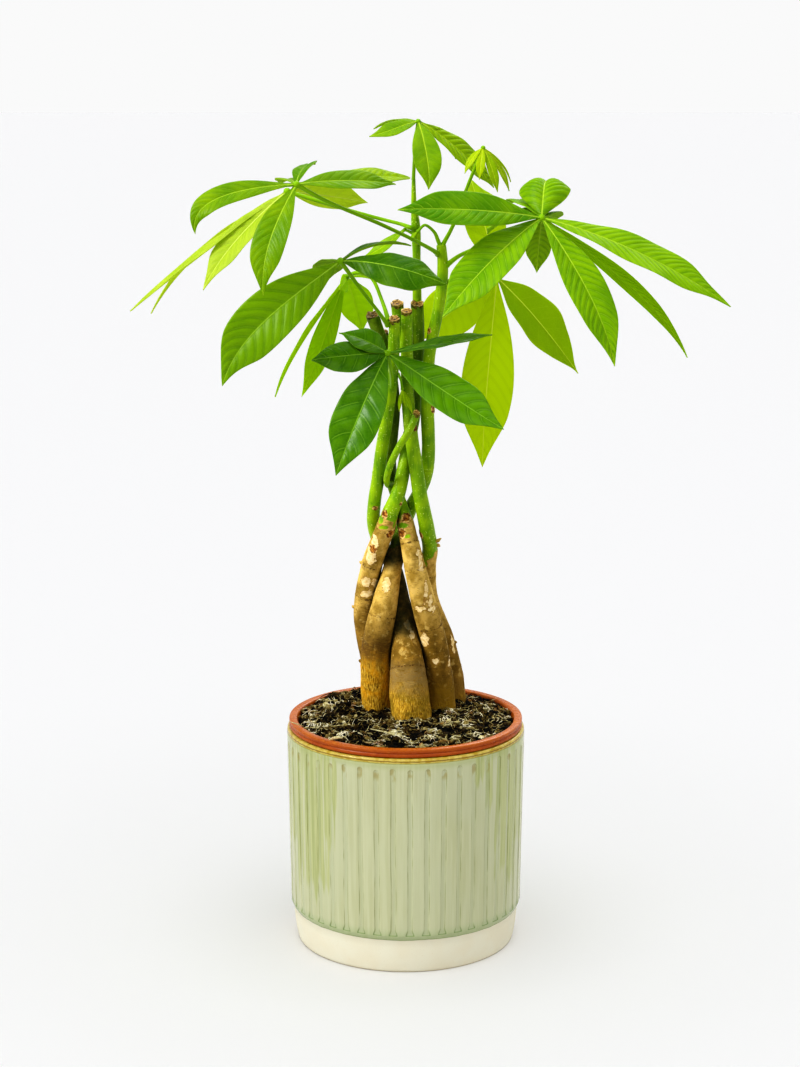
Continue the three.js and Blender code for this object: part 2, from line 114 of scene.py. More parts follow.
def piece(name, skins, finish, slot, node=None, **layers):
    """A mesh piece on the one body, from skins of points in millimetres and faces. Each layer
    is a number kept at every point, for the finish to read."""
    points, faces, first = [], [], 0
    for skin_points, skin_faces in skins:
        points.append(skin_points)
        faces.extend([[corner + first for corner in face] for face in skin_faces])
        first += len(skin_points)
    mesh = bpy.data.meshes.new(name)
    mesh.from_pydata((np.concatenate(points) * MM).tolist(), [], faces)
    mesh.shade_smooth()
    for layer, values in layers.items():
        mesh.attributes.new(layer, "FLOAT", "POINT").data.foreach_set("value", values)
    mesh.materials.append(finish)
    made = bpy.data.objects.new(name, mesh)
    bpy.context.scene.collection.objects.link(made)
    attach(made, "root")
    if node:
        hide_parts(node)
    return made


def paint(red, green, blue):
    """The linear colour that looks like these levels of 0 to 255."""
    levels = [level / 255 for level in (red, green, blue)]
    return tuple(v / 12.92 if v < 0.04 else ((v + 0.055) / 1.055) ** 2.4 for v in levels) + (1,)


class Wire:
    """A number or colour on its way through a finish: arithmetic with it adds Math nodes."""

    def __init__(self, finish, socket):
        self.finish = finish
        self.socket = socket

    def math(self, operation, *values):
        return self.finish.add("Math", {"operation": operation}, dict(enumerate(values)))

    def __add__(self, other):
        return self.math("ADD", self, other)

    def __sub__(self, other):
        return self.math("SUBTRACT", self, other)

    def __mul__(self, other):
        return self.math("MULTIPLY", self, other)

    def __truediv__(self, other):
        return self.math("DIVIDE", self, other)

    def __rsub__(self, other):
        return self.math("SUBTRACT", other, self)

    def __abs__(self):
        return self.math("ABSOLUTE", self)

    __radd__ = __add__
    __rmul__ = __mul__

    def step(self, low, high):
        """0 at low and 1 at high, soft between; low may be the higher number."""
        ends = {"Value": self, "From Min": low, "From Max": high}
        return self.finish.add("MapRange", {"interpolation_type": "SMOOTHSTEP"}, ends)

    def line(self, centre, half):
        """1 at centre, fading to 0 at half to either side."""
        return abs(self - centre).step(half, 0)

    def tint(self, share, red, green, blue):
        """This colour with a share of another over it."""
        return self.finish.mix(share, self, (red, green, blue))


class Finish:
    """A material and the nodes that make it, measured in millimetres on the piece."""

    def __init__(self, name):
        self.material = bpy.data.materials.new(name)
        self.material.use_nodes = True
        self.material.node_tree.nodes.clear()
        spot = self.add("TexCoord", {}, {}, "Object")
        self.spot = self.add("VectorMath", {"operation": "SCALE"}, {0: spot, "Scale": 1 / MM})
        self.height = self.add("SeparateXYZ", {}, {0: self.spot}, "Z")

    def add(self, kind, settings, sockets, output=0):
        """A node: its settings first, then its sockets' values or links."""
        tree = self.material.node_tree
        node = tree.nodes.new("ShaderNode" + kind)
        for name, value in settings.items():
            setattr(node, name, value)
        for name, value in sockets.items():
            if isinstance(value, Wire):
                tree.links.new(value.socket, node.inputs[name])
            else:
                node.inputs[name].default_value = value
        return Wire(self, node.outputs[output]) if node.outputs else None

    def layer(self, name):
        """The number kept under this name at every point of the piece."""
        return self.add("Attribute", {"attribute_name": name}, {}, "Fac")

    def noise(self, size, detail=2, where=None):
        """Cloudy numbers round 0.5, in patches about size millimetres across."""
        sockets = {"Vector": where or self.spot, "Scale": 1 / size, "Detail": detail}
        return self.add("TexNoise", {}, sockets)

    def streaks(self, detail, x, y, z):
        """Cloudy numbers with x, y and z patches a millimetre along the axes."""
        where = self.add("VectorMath", {"operation": "MULTIPLY"}, {0: self.spot, 1: (x, y, z)})
        return self.noise(1, detail, where)

    def mix(self, share, first, second):
        """The first colour where share is 0, the second where it is 1; each a wire or levels."""
        first, second = (end if isinstance(end, Wire) else paint(*end) for end in (first, second))
        sockets = {0: share, 6: first, 7: second}
        return self.add("Mix", {"data_type": "RGBA"}, sockets, 2)

    def bump(self, height, depth):
        """A normal for relief up to depth millimetres."""
        return self.add("Bump", {}, {"Strength": 1, "Distance": depth * MM, "Height": height})

    def surface(self, colour, roughness, normal, specular=0.5):
        return self.add("BsdfPrincipled", {}, {
            "Base Color": colour, "Roughness": roughness, "Normal": normal,
            "Specular IOR Level": specular})

    def done(self, shader):
        self.add("OutputMaterial", {}, {"Surface": shader})
        return self.material


def glaze():
    """Sage glaze over cut channels, with the bare clay foot below it."""
    made = Finish("sage_glaze")
    height = made.height
    edge, clear = made.layer("edge"), made.layer("clear")
    drip = made.noise(9, 2) * 1.2 - 0.6
    glazed = (height + drip).step(glaze_edge - 0.15, glaze_edge + 0.15)

    # Streaks run down the wall. A milky veil, which is a painted reflection of the pale surroundings,
    # covers most of it and ends in ragged drips, and between its drips, where no reflection is painted,
    # the glaze is clear and greener.
    streak = made.streaks(3, 0.5, 0.5, 0.02)
    cloud = made.streaks(2, 0.04, 0.04, 0.02)
    painted_reflection = made.mix(streak.step(0.36, 0.66), (183, 185, 148), (191, 193, 158))
    painted_reflection = painted_reflection.tint(cloud.step(0.42, 0.66) * 0.6, 189, 192, 160)
    bright = made.mix(streak.step(0.34, 0.6), (166, 172, 118), (182, 186, 136))
    ragged = made.streaks(3, 0.42, 0.42, 0.012) - 0.5
    sage = made.mix((clear + ragged * 26).step(-1, 2.4), painted_reflection, bright)

    # Inside a channel the glaze is a little cooler, along its edges darker, and at its upper end smudged
    # brown.
    broken = made.streaks(2, 0.5, 0.5, 0.08)
    sage = sage.tint(edge.step(0.1, 0.9) * 0.35, 171, 178, 145)
    line = edge.line(-0.08, 0.26) * broken.step(0.36, 0.66)
    sage = sage.tint(line * 0.75, 124, 129, 73)
    top = height.step(channel_to - 7, channel_to - 3)
    smudge = made.streaks(2, 0.3, 0.3, 0.14).step(0.46, 0.6)
    sage = sage.tint(edge.step(-0.7, 0.1) * top * smudge * 0.6, 156, 142, 78)

    # Towards the lower edge the glaze pools green.
    pooled = height.step(channel_from + 5, glaze_edge + 0.5)
    sage = sage.tint(pooled * 0.5, 148, 166, 118)
    sage = sage.tint(edge.line(0, 0.5) * height.step(channel_from + 4, channel_from) * 0.8, 116, 139, 82)
    sage = sage.tint((height + drip).line(glaze_edge + 0.2, 0.4) * 0.8, 116, 133, 76)

    # Round the rim it breaks to yellow, with a brown line where it runs thin, and an olive line just below
    # it that is painted shadow under the rim.
    mottle = made.noise(3, 3)
    yellow = made.mix(mottle.step(0.4, 0.62), (196, 178, 92), (176, 150, 48))
    sage = sage.tint(height.step(pot_height - 7, pot_height - 2.4) * 0.45, 158, 166, 103)
    sage = made.mix(height.step(pot_height - 2.5, pot_height - 2), sage, yellow)
    thin = made.noise(2, 2) * 0.6 - 0.3
    sage = sage.tint((height + thin).line(pot_height - 1.3, 0.42), 124, 96, 24)
    sage = sage.tint((height + thin).line(pot_height - 2.4, 0.3) * 0.7, 131, 129, 40)

    grain = made.noise(0.8, 3)
    clay = made.mix(made.noise(14, 3).step(0.35, 0.65), (222, 216, 194), (223, 219, 199))
    clay = clay.tint(grain.step(0.62, 0.72) * 0.2, 205, 193, 160)
    clay = clay.tint(height.step(0.8, 0.3) * 0.5, 200, 184, 148)
    ripple = made.streaks(2, 0.5, 0.5, 0.05) * glazed + grain * (1 - glazed) * 0.4
    return made.done(made.surface(
        made.mix(glazed, clay, sage), 0.8 - glazed * 0.66, made.bump(ripple, 0.16)))


columns = (-0.5, -0.36, -0.24, -0.175, -0.145, -0.12, -0.07, 0, 0.07, 0.12, 0.145, 0.175, 0.24, 0.36)
pitch = 2 * math.pi / channels
angles = np.array([(channel + share) * pitch for channel in range(channels) for share in columns])
off_centre = np.abs(np.tile(columns, channels)) * pitch * pot_radius

outside = [
    (0.4, 0), (49, 0), (55, 0), (55.8, 0.15), (56.1, 0.5), (56.4, 1.6), (57, 4.5), (57.7, 9),
    (58.1, 13.5), (58.4, glaze_edge - 0.5), (58.65, glaze_edge - 0.1), (58.95, glaze_edge + 0.3),
    (59.2, glaze_edge + 1), (pot_radius - pot_taper - 0.2, channel_from - 0.4),
]
wall_from = len(outside)
for height in (*np.linspace(channel_from, channel_from + 4.4, 14),
               *np.linspace(channel_from + 6, channel_to - 6, 54),
               *np.linspace(channel_to - 4.4, channel_to + 0.4, 14)):
    lower = max(0, (channel_to - height) / (channel_to - channel_from))
    outside.append((pot_radius - pot_taper * lower, height))
wall_to = len(outside)
for inward, down in ((0, 4), (0, 2.4), (0.25, 1.95), (0.1, 1.5), (0.15, 0.8), (0.5, 0.25), (1.1, 0)):
    outside.append((pot_radius - inward, pot_height - down))
inside = pot_radius - pot_wall
outside += [
    (58.4, pot_height), (57.5, pot_height - 0.2), (56.9, pot_height - 0.9),
    (inside, pot_height - 2), (inside, pot_height - 30), (inside, 60), (inside, pot_floor + 20),
    (inside - 0.4, pot_floor + 9), (inside - 2, pot_floor + 3), (inside - 6, pot_floor),
    (inside - 30, pot_floor), (0.4, pot_floor),
]
profile = np.array(outside)
heights = profile[:, 1]
is_wall = (np.arange(len(profile)) >= wall_from) & (np.arange(len(profile)) < wall_to)
upright = heights[:, None]
draw = random.Random(5)
cut_to = np.repeat([channel_to + draw.uniform(-0.8, 0.8) for _ in range(channels)], len(columns))
half = channel_half + flare_width * smooth(channel_from + flare_height, channel_from, upright)
edge = half - off_centre[None, :]
round_end = channel_half - np.hypot(off_centre[None, :], upright - (cut_to - channel_half))
edge = np.where(upright > cut_to - channel_half, round_end, edge)
edge = np.minimum(edge, (upright - channel_from) * 0.8)
edge = np.where(is_wall[:, None], edge, -2.0)
bowl = 0.6 + 0.4 * np.clip(off_centre[None, :] / half, 0, 1) ** 2
radii = profile[:, :1] - channel_depth * smooth(-0.3, 0.45, edge) * bowl
turns = np.array([noise.noise(Vector((3 * math.cos(a), 3 * math.sin(a), 5))) for a in angles])
turns = wall_unevenness * turns * is_wall[:, None]
radii = radii + turns * smooth(18, 40, upright) * smooth(112, 90, upright)
sway = np.array([[noise.noise(Vector((3.7 * channel, height / 26, 1)))
                  for channel in range(channels)] for height in heights])
sway = np.repeat(sway, len(columns), axis=1) * channel_sway / pot_radius
# Each clear drip, a gap in the painted reflection: its bearing and half width in degrees, and its lower
# and upper ends.
clear = np.full(radii.shape, -30.0)
for bearing, half_wide, low_end, high_end in (
        (-162, 8, 56, 112), (-152, 6, 40, 113), (-142.5, 6, 37, 113), (-136, 5, 42, 112),
        (-131, 4, 64, 111), (-127, 4, 82, 110), (-51, 4, 98, 111), (-46, 4, 82, 112),
        (-40, 4, 62, 113), (-35, 4, 50, 113), (-28, 5, 41, 113), (-18, 7, 56, 112),
        (22, 12, 40, 108), (76, 7, 52, 100), (128, 11, 36, 109), (176, 8, 50, 104)):
    aside = np.abs((np.degrees(angles) - bearing + 180) % 360 - 180)[None, :]
    inside_drip = np.minimum(half_wide - aside, (upright - low_end) * 0.5)
    clear = np.maximum(clear, np.minimum(inside_drip, (high_end - upright) * 0.8))
piece("glazed_pot", [turned(radii, heights, angles + sway)], glaze(), "glaze", "cover_pot",
      edge=np.clip(edge, -2, 2).ravel(), clear=np.clip(clear, -20, 20).ravel())


# ------------------------------------------------------------------ nursery pot
# An injection-moulded terracotta plastic pot with a folded rim and eight drain holes. It is
# dropped into the glazed pot, and its rim rests on the glazed one.
nursery_low, nursery_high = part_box("nursery_pot")
lip_top = nursery_high.z / MM
lip_radius = nursery_high.x / MM
lip_height = 4.3
lip_foot = lip_top - lip_height
nursery_base = nursery_low.z / MM
nursery_wall = 1.2
nursery_foot_radius = 41.8
nursery_mouth = 56.2


def nursery_inside(height):
    """Inner radius of the tapered nursery pot at a height."""
    share = (height - nursery_base) / (lip_top - nursery_base)
    return nursery_foot_radius + share * (nursery_mouth - nursery_foot_radius)


def terracotta():
    """Orange plastic, glossy where it is clean and dusty from the peat inside."""
    made = Finish("terracotta_plastic")
    scuff = made.streaks(3, 0.3, 0.3, 1.6)
    colour = made.mix(made.noise(12, 3).step(0.35, 0.65), (172, 86, 6), (158, 72, 4))
    colour = colour.tint(scuff.step(0.58, 0.72) * 0.4, 191, 127, 30)
    worn = made.height.step(lip_top - 1.4, lip_top - 0.4)
    colour = colour.tint(worn * 0.3, 194, 118, 25)
    # The groove half way up the rim is painted darker: painted shade in the groove.
    groove_shade = made.height.line(lip_foot + 2, 0.4)
    colour = colour.tint(groove_shade * 0.35, 129, 52, 2)
    dust = made.noise(1.3, 3).step(0.6, 0.72) * made.height.step(lip_top - 0.8, lip_top)
    colour = colour.tint(dust * 0.5, 90, 50, 20)
    return made.done(made.surface(
        colour, 0.24 + 0.25 * scuff.step(0.4, 0.7), made.bump(made.noise(0.5, 2), 0.02), 0.35))


def outer(height):
    return nursery_inside(height) + nursery_wall


# Up its outer wall, round the folded rim, which is grooved half way up, and down its inner wall.
rim_from_foot = ((1.2, 0.2), (1, 0), (0.4, 0), (0.1, 0.2), (0, 0.7), (0, 1.4), (0.15, 1.7), (0.4, 1.9),
                 (0.4, 2.1), (0.12, 2.3), (0, 2.7), (0, 3.7), (0.12, 4.2))
rim_from_top = ((0.45, 0.35), (0.9, 0.08), (1.4, 0))
mouth_from_top = ((-0.5, 0), (-0.1, 0.15), (0.3, 0.6), (0.6, 1.4))
shoulder = lip_foot - 8
floor_top = nursery_base + nursery_wall
nursery_profile = np.array([
    (0.4, nursery_base), (20, nursery_base), (outer(nursery_base) - 0.8, nursery_base),
    (outer(nursery_base), nursery_base + 0.8), (outer(60), 60), (outer(shoulder), shoulder),
    (outer(shoulder), lip_top - 2.1), (lip_radius - 1.5, lip_top - 1.5),
    (lip_radius - 1.2, lip_top - 1.8),
    *[(lip_radius - inward, lip_foot + up) for inward, up in rim_from_foot],
    *[(lip_radius - inward, lip_top - down) for inward, down in rim_from_top],
    *[(nursery_mouth - inward, lip_top - down) for inward, down in mouth_from_top],
    (nursery_inside(shoulder), shoulder), (nursery_inside(60), 60),
    (nursery_inside(nursery_base + 2), nursery_base + 2), (40, floor_top), (20, floor_top),
    (0.4, floor_top),
])
around = np.linspace(0, 2 * math.pi, 180, endpoint=False)
wobble = np.array([noise.noise(Vector((1.3 * math.cos(a), 1.3 * math.sin(a), 2))) for a in around])
nursery_radii = nursery_profile[:, :1] + 0.25 * wobble * (nursery_profile[:, :1] > 55)
nursery = piece("nursery_rim_pot", [turned(nursery_radii, nursery_profile[:, 1], around)],
                terracotta(), "terracotta_plastic", "nursery_pot")
drain_holes = 8
drain_radius = 3.5
drain_circle = 30


def level_ring(radius, height, sides):
    """Points round a level circle."""
    turn = np.linspace(0, 2 * math.pi, sides, endpoint=False)
    return np.stack([radius * np.cos(turn), radius * np.sin(turn), np.full(sides, height)], axis=-1)


drills = []
for hole in range(drain_holes):
    angle = hole * 2 * math.pi / drain_holes
    place = (drain_circle * math.cos(angle), drain_circle * math.sin(angle), 0)
    drills.append(skin(np.stack([level_ring(drain_radius, height, 24) + place
                                 for height in (nursery_base - 2, nursery_base + 3)])))
cutter = piece("drills", drills, nursery.data.materials[0], "terracotta_plastic")
cut = nursery.modifiers.new("drain_holes", "BOOLEAN")
cut.object = cutter
cut.solver = "EXACT"
drained = bpy.data.meshes.new_from_object(
    nursery.evaluated_get(bpy.context.evaluated_depsgraph_get()))
nursery.modifiers.clear()
nursery.data = drained
bpy.data.objects.remove(cutter)


# ------------------------------------------------------------------ peat
# Coarse peat potting mix, filled almost to the rim and mounded round the trunks: a dark bed,
# loose crumbs on it, and pale dry fibres among them.
soil_edge = 115.2
soil_mound = 2.4
soil_radius = nursery_inside(soil_edge) - 0.05
lump_size = 9
lump_height = 1.9
# Where the trunks stand in it, as (x, y, radius).
trunk_feet = [(-12, 35, 6.6), (-14.5, 16, 7.4), (3.6, -1, 9.6), (18, 16, 7.8), (24.4, 31, 7.3)]


def soil_height(x, y):
    """Height of the peat's surface at a place, in millimetres."""
    away = math.hypot(x, y) / soil_radius
    lumps = noise.fractal(Vector((x / lump_size, y / lump_size, 3)), 0.6, 2.2, 4)
    heap = 2.2 * math.exp(-((x + 34) ** 2 + (y - 34) ** 2) / 420)
    mound = soil_mound * math.cos(0.5 * math.pi * min(away, 1))
    return soil_edge + mound + heap + 0.9 * smooth(0, 40, y) + lump_height * lumps


def peat():
    """Near-black peat with brown, olive and straw-coloured bits; tone picks one."""
    made = Finish("peat_mix")
    tone = made.layer("tone") + (made.noise(1.1, 3) - 0.5) * 0.7
    ramp = [(0.1, (6, 4, 0)), (0.3, (62, 46, 16)), (0.5, (122, 106, 56)), (0.68, (166, 154, 104)),
            (0.84, (206, 198, 152)), (1, (240, 234, 210))]
    colour = ramp[0][1]
    for (low, _), (high, levels) in zip(ramp, ramp[1:]):
        colour = made.mix(tone.step(low, high), colour, levels)
    rust = made.noise(5, 1).step(0.6, 0.72) * tone.step(0.3, 0.6)
    colour = colour.tint(rust * 0.6, 160, 100, 36)
    return made.done(made.surface(colour, 0.9, made.bump(made.noise(0.45, 3), 0.25), 0.2))


peat_mix = peat()
bed_sectors = 200
bed_shrink = 0.99
foot = level_ring(nursery_inside(nursery_base + 2) - 0.4, nursery_base + 2.2, bed_sectors)
wall = level_ring(soil_radius - 0.6, soil_edge - 5, bed_sectors)
bed_rings = [foot * (0.01, 0.01, 1), foot, wall]
for reach in np.linspace(0.3, soil_radius, 58)[::-1]:
    ring = level_ring(reach, 0, bed_sectors)
    ring[:, 2] = [soil_height(x, y) for x, y, _ in ring]
    bed_rings.append(ring)
bed = skin(np.array(bed_rings) * (bed_shrink, bed_shrink, 1))
bed_tone = [0.1 + 0.3 * noise.noise(Vector(point) / 4) for point in bed[0]]
piece("peat_bed", [bed], peat_mix, "peat", "soil", tone=bed_tone)


def on_soil(draw, clearance):
    """A random place on the peat, clear of the trunks."""
    while True:
        reach = (soil_radius - 0.5) * math.sqrt(draw.random())
        angle = draw.uniform(0, 2 * math.pi)
        x, y = reach * math.cos(angle), reach * math.sin(angle)
        if all(math.hypot(x - fx, y - fy) > r + clearance for fx, fy, r in trunk_feet):
            return x, y


build = bmesh.new()
bmesh.ops.create_icosphere(build, subdivisions=2, radius=1)
ball_points = np.array([v.co for v in build.verts])
ball_faces = [[v.index for v in face.verts] for face in build.faces]
build.free()
draw = random.Random(11)
crumb_count = 1900
crumbs, crumb_tone = [], []
for crumb in range(crumb_count):
    x, y = on_soil(draw, -0.5)
    size = draw.choice((0.5, 0.6, 0.7, 0.9, 1.2, 1.7))
    seed = Vector((draw.uniform(0, 90), 0, 0))
    lumpy = np.array([1 + 0.55 * noise.noise(Vector(p) * 1.5 + seed) for p in ball_points])
    turn = Vector([draw.gauss(0, 1) for _ in range(3)]).to_track_quat("Z", "Y").to_matrix()
    shape = ball_points * lumpy[:, None] * (1, draw.uniform(0.6, 1), draw.uniform(0.45, 0.8))
    shape = shape @ np.array(turn) * size
    crumbs.append((shape + (x, y, soil_height(x, y) + 0.35 * size), ball_faces))
    shade = 0.1 + 0.45 * draw.random() ** 1.5 + 0.8 * noise.noise(Vector((x / 9, y / 9, 8)))
    crumb_tone += [shade] * len(ball_points)
piece("peat_crumbs", crumbs, peat_mix, "peat", tone=crumb_tone)


def through(rows, places):
    """Smooth curve through rows of numbers, at places counted in rows."""
    rows = np.array(rows, float)
    span = np.minimum(np.floor(places).astype(int), len(rows) - 2)
    t = (places - span)[:, None]
    before, start = rows[np.maximum(span - 1, 0)], rows[span]
    end, after = rows[span + 1], rows[np.minimum(span + 2, len(rows) - 1)]
    return 0.5 * (2 * start + (end - before) * t
                  + (2 * before - 5 * start + 4 * end - after) * t ** 2
                  + (3 * start - before - 3 * end + after) * t ** 3)


def tube(rows, sides, steps):
    """Rings of a round stem along rows of (x, y, z, radius); also its centres and directions."""
    line = through(rows, np.linspace(0, len(rows) - 1, (len(rows) - 1) * steps + 1))
    centres, radii = line[:, :3], line[:, 3]
    along = np.gradient(centres, axis=0)
    along /= np.linalg.norm(along, axis=1)[:, None]
    side = np.cross((1, 0, 0.01), along[0])
    turn = np.linspace(0, 2 * math.pi, sides, endpoint=False)
    outward = []
    for direction in along:
        side = side - side.dot(direction) * direction
        side /= np.linalg.norm(side)
        other = np.cross(direction, side)
        outward.append(np.outer(np.cos(turn), side) + np.outer(np.sin(turn), other))
    outward = np.array(outward)
    return centres[:, None] + outward * radii[:, None, None], centres, along, outward


fibre_count = 1500
long_fibres = 41
fibres, fibre_tone = [], []
for fibre in range(fibre_count):
    x, y = on_soil(draw, 0)
    long = draw.uniform(8, 15) if fibre < long_fibres else draw.uniform(2.5, 7)
    thick = draw.uniform(0.14, 0.32)
    heading = draw.uniform(0, 2 * math.pi)
    lift = draw.uniform(-0.3, 0.5)
    bend = draw.gauss(0, 0.5)
    rows = []
    for step in range(5):
        share = step / 4 - 0.5
        angle = heading + bend * share * 2
        px = x + math.cos(angle) * long * share
        py = y + math.sin(angle) * long * share
        if math.hypot(px, py) > soil_radius - 0.4:
            break
        rise = 0.7 + lift * share * long * 0.35 + draw.uniform(0, 0.8)
        rows.append((px, py, soil_height(px, py) + rise, thick * (1.1 - abs(share))))
    if len(rows) == 5:
        fibres.append(skin(tube(rows, 4, 1)[0]))
        shade = draw.uniform(0.3, 0.95) + 0.8 * noise.noise(Vector((x / 9, y / 9, 8)))
        fibre_tone += [shade] * len(fibres[-1][0])
# Three thicker chips lie at the front and left.
for rows in ([(-38.5, -42.5, 117.5, 0.5), (-35, -44, 119.4, 0.9), (-31.5, -44.6, 119.5, 0.4)],
             [(-52, -20, 118.2, 0.25), (-55.5, -22, 120, 0.3), (-59, -23, 121.6, 0.15)],
             [(-18, -26, 118.5, 0.3), (-9, -33, 118.6, 0.5), (-3, -38, 118, 0.9)]):
    fibres.append(skin(tube(rows, 6, 4)[0]))
    fibre_tone += [0.8] * len(fibres[-1][0])
piece("peat_fibres", fibres, peat_mix, "peat", tone=fibre_tone)


# ------------------------------------------------------------------ trunks
# Five young pachira stems, plaited while soft and planted together. Their lower part has
# turned to tan bark over a fibrous ochre base; above it they are still green. Each was pruned
# to a stub, and old leaf stalks have left round scars and rings.
trunks = {
    "trunk_1": [
        [(-11, 35, 88, 4.5), (-12, 35, 106, 6.6), (-13.5, 33.5, 124, 6.5), (-18, 29, 146, 6.5),
         (-20.5, 24, 166, 6.4), (-19.5, 19.5, 181, 5.8), (-16.5, 12.5, 198, 5.1), (-11, 5.5, 214, 4.7),
         (-8, 2, 224, 4.2), (-4, 1.5, 234, 3.7), (-1, 4, 247, 3.4), (1.5, 10, 260, 3.4),
         (4.5, 14, 275, 3.3), (6, 14.5, 295, 3.2), (6.2, 13.5, 315, 3.2), (5.6, 12.5, 330, 3.2)],
        [(5.8, 15, 308, 1.8), (5.8, 17, 322, 2.2), (5.6, 16.5, 338, 2.2), (5.4, 13, 352, 2),
         (5, 11, 367, 2.3), (4, 10, 379, 1.4), (3.8, 9.5, 392, 0.9)],
    ],
    "trunk_2": [
        [(-12, 18, 88, 4.5), (-13.5, 17, 104, 7), (-15, 15.5, 120, 7.4), (-15.5, 13.5, 138, 7.8),
         (-14.3, 12, 156, 7.6), (-10.5, 12, 176, 6.2), (-7, 12.5, 192, 4.7), (-4.5, 13.5, 203, 4.1),
         (-2, 15.5, 213, 3.8), (2, 16, 223, 3.6), (7, 13, 233, 3.4), (10.5, 9, 244, 3.4),
         (11.5, 7, 257, 3.4), (11, 6, 272, 3.4), (10.7, 6, 287, 3.4), (11.5, 7, 302, 3.1),
         (13.8, 8, 315, 2.9), (16.2, 8, 327, 2.8), (18, 8, 340, 2.8), (18.4, 8, 350, 2.7),
         (17.6, 8, 359, 2.4)],
    ],
    "trunk_3": [
        [(4, -1, 86, 5.5), (3.5, -1.5, 104, 9.8), (3, -1, 118, 10.1), (1.9, 0.5, 128, 10),
         (1, 4.5, 142, 8.8), (-0.3, 13.5, 158, 6.9), (-3, 21, 174, 5), (-4.8, 24, 184, 4.3),
         (-8, 25, 195, 4), (-14, 21, 206, 3.6), (-16.5, 14.5, 217, 3.4), (-15.8, 9, 230, 3.3),
         (-14, 6, 242, 3.3), (-12, 4, 257, 3.3), (-10, 1.5, 270, 3.2), (-8, 0, 284, 3.1),
         (-6.6, -1, 298, 3), (-6, -1.5, 311, 2.9), (-5.6, -2, 324, 2.7)],
    ],
    "trunk_4": [
        [(17, 17, 88, 5), (18, 16.5, 104, 7.6), (18, 16, 118, 7.8), (16.8, 14, 134, 7.6),
         (14.2, 11, 155, 6.7), (9, 7, 177, 6.1), (5, 4, 194, 5.3), (1.8, 4, 209, 4.5), (-0.5, 6.5, 220, 4),
         (-3.5, 11, 229, 3.5), (-7, 13.5, 239, 3.2), (-8, 13, 250, 3.1), (-7, 11, 263, 3.1),
         (-6, 9, 276, 3.1), (-7, 8.5, 291, 3), (-10.5, 10, 306, 3), (-14.5, 12, 317, 3.2),
         (-17, 13, 324, 3.5)],
        [(-9, 12, 296, 1.6), (-9.5, 15, 304, 2), (-10.8, 17.5, 315, 1.8)],
        [(-7, 11, 238, 1.2), (-9, 5, 238, 1.5), (-9.6, -1, 243, 1.7), (-7.5, -5.5, 251, 1.8),
         (-3.4, -7.5, 260, 1.8), (2.1, -7.5, 269, 1.8), (5.6, -5.5, 277, 2)],
    ],
    "trunk_5": [
        [(24, 33, 88, 4.5), (24.6, 32, 104, 7.2), (24.4, 31, 116, 7.3), (23, 30, 130, 7.2),
         (18.6, 28, 151, 6.6), (11.8, 24.5, 174, 5), (11.2, 19, 191, 4.2), (12.4, 13, 203, 3.9),
         (11.2, 7, 213, 3.9), (9.4, 2.5, 223, 3.8), (7.4, -0.5, 233, 3.7), (5.4, -1.5, 247, 3.6),
         (3.2, -1, 261, 3.4), (1.6, 1.5, 275, 3.3), (0.8, 4, 288, 3.2), (0.6, 5.5, 302, 3.1),
         (0.4, 5, 315, 2.9), (0.4, 4.5, 327, 2.8)],
        [(-0.5, 8, 306, 1.8), (-2.8, 12, 314, 2.8), (-4.4, 13, 330, 3.2)],
    ],
}


# Marks on the bark: rings as heights, the rest as (height, bearing in degrees, half size along,
# half size across); bearing -90 faces the front. Moss is a patch where the bark is still green.
marks = {
    "trunk_1": {
        "ring": [215.5, 195.9, 177],
        "scar": [(206.4, -123, 2.3, 2), (216, -50, 2.4, 2.2), (224, -128, 2, 1.5), (241, 80, 1.8, 1.6),
                 (231, -40, 0.8, 0.6), (262, 150, 1.6, 1.4)],
        "peel": [(202, -117, 4.5, 3), (210, -125, 3, 2), (187.3, -105, 3, 2.2), (187.8, -61, 2.8, 1.4),
                 (181.5, -92, 1.6, 3.4), (172, 60, 5, 2.5)],
        "moss": [(218.6, -104, 1.1, 2.6)],
    },
    "trunk_2": {
        "ring": [197.9, 168, 246],
        "scar": [(203, 120, 2, 1.8), (277.6, -30, 2.3, 1.5), (300, 130, 1.6, 1.4), (316, -140, 1.4, 1.2)],
        "peel": [(184.6, -108, 3.6, 1.8), (170, 100, 6, 2)],
    },
    "trunk_3": {
        "ring": [142.5, 208, 243],
        "scar": [(190, 60, 2, 1.6), (226.8, -80, 0.9, 1.3), (268, 120, 1.6, 1.3)],
        "peel": [(160, -76, 3.6, 1.5), (155, -64, 2.6, 1.5), (178, -120, 3, 1.6)],
    },
    "trunk_4": {
        "ring": [209, 195.4, 163.4],
        "scar": [(220, -76, 2.4, 2.1), (213.6, -128, 2.5, 2), (175, 90, 2.2, 1.8), (250, 100, 1.6, 1.4),
                 (271, -160, 1.5, 1.2)],
        "peel": [(202, -42, 3.4, 1.2), (196, -50, 2.4, 1.3), (184, -60, 4, 0.7), (177, -50, 3, 0.9),
                 (174.5, -42, 1.4, 2.6), (175.6, -112, 1.2, 2.8), (158.6, -128, 3.6, 2.2),
                 (146.8, -91, 1.2, 1.4), (144.1, -25, 2.4, 0.6), (150, 70, 5, 2.4)],
        "moss": [(216.6, -104, 1.5, 3.2), (211.6, -94, 1, 2.2)],
    },
    "trunk_5": {
        "ring": [189.2, 172],
        "scar": [(214, -150, 2, 1.4), (268.5, -48, 2.2, 1), (252, 110, 1.6, 1.4), (296, 20, 1.4, 1.2)],
        "peel": [(201, -88, 1.4, 1.2), (206.5, -30, 2.2, 1.6), (181, 30, 4, 2), (150, -30, 4, 1.4)],
        "moss": [(197, -125, 4, 2.4)],
    },
}
# The height at which each trunk's bark gives way to green stem.
green_from = {"trunk_1": 221, "trunk_2": 204, "trunk_3": 200, "trunk_4": 221, "trunk_5": 201}
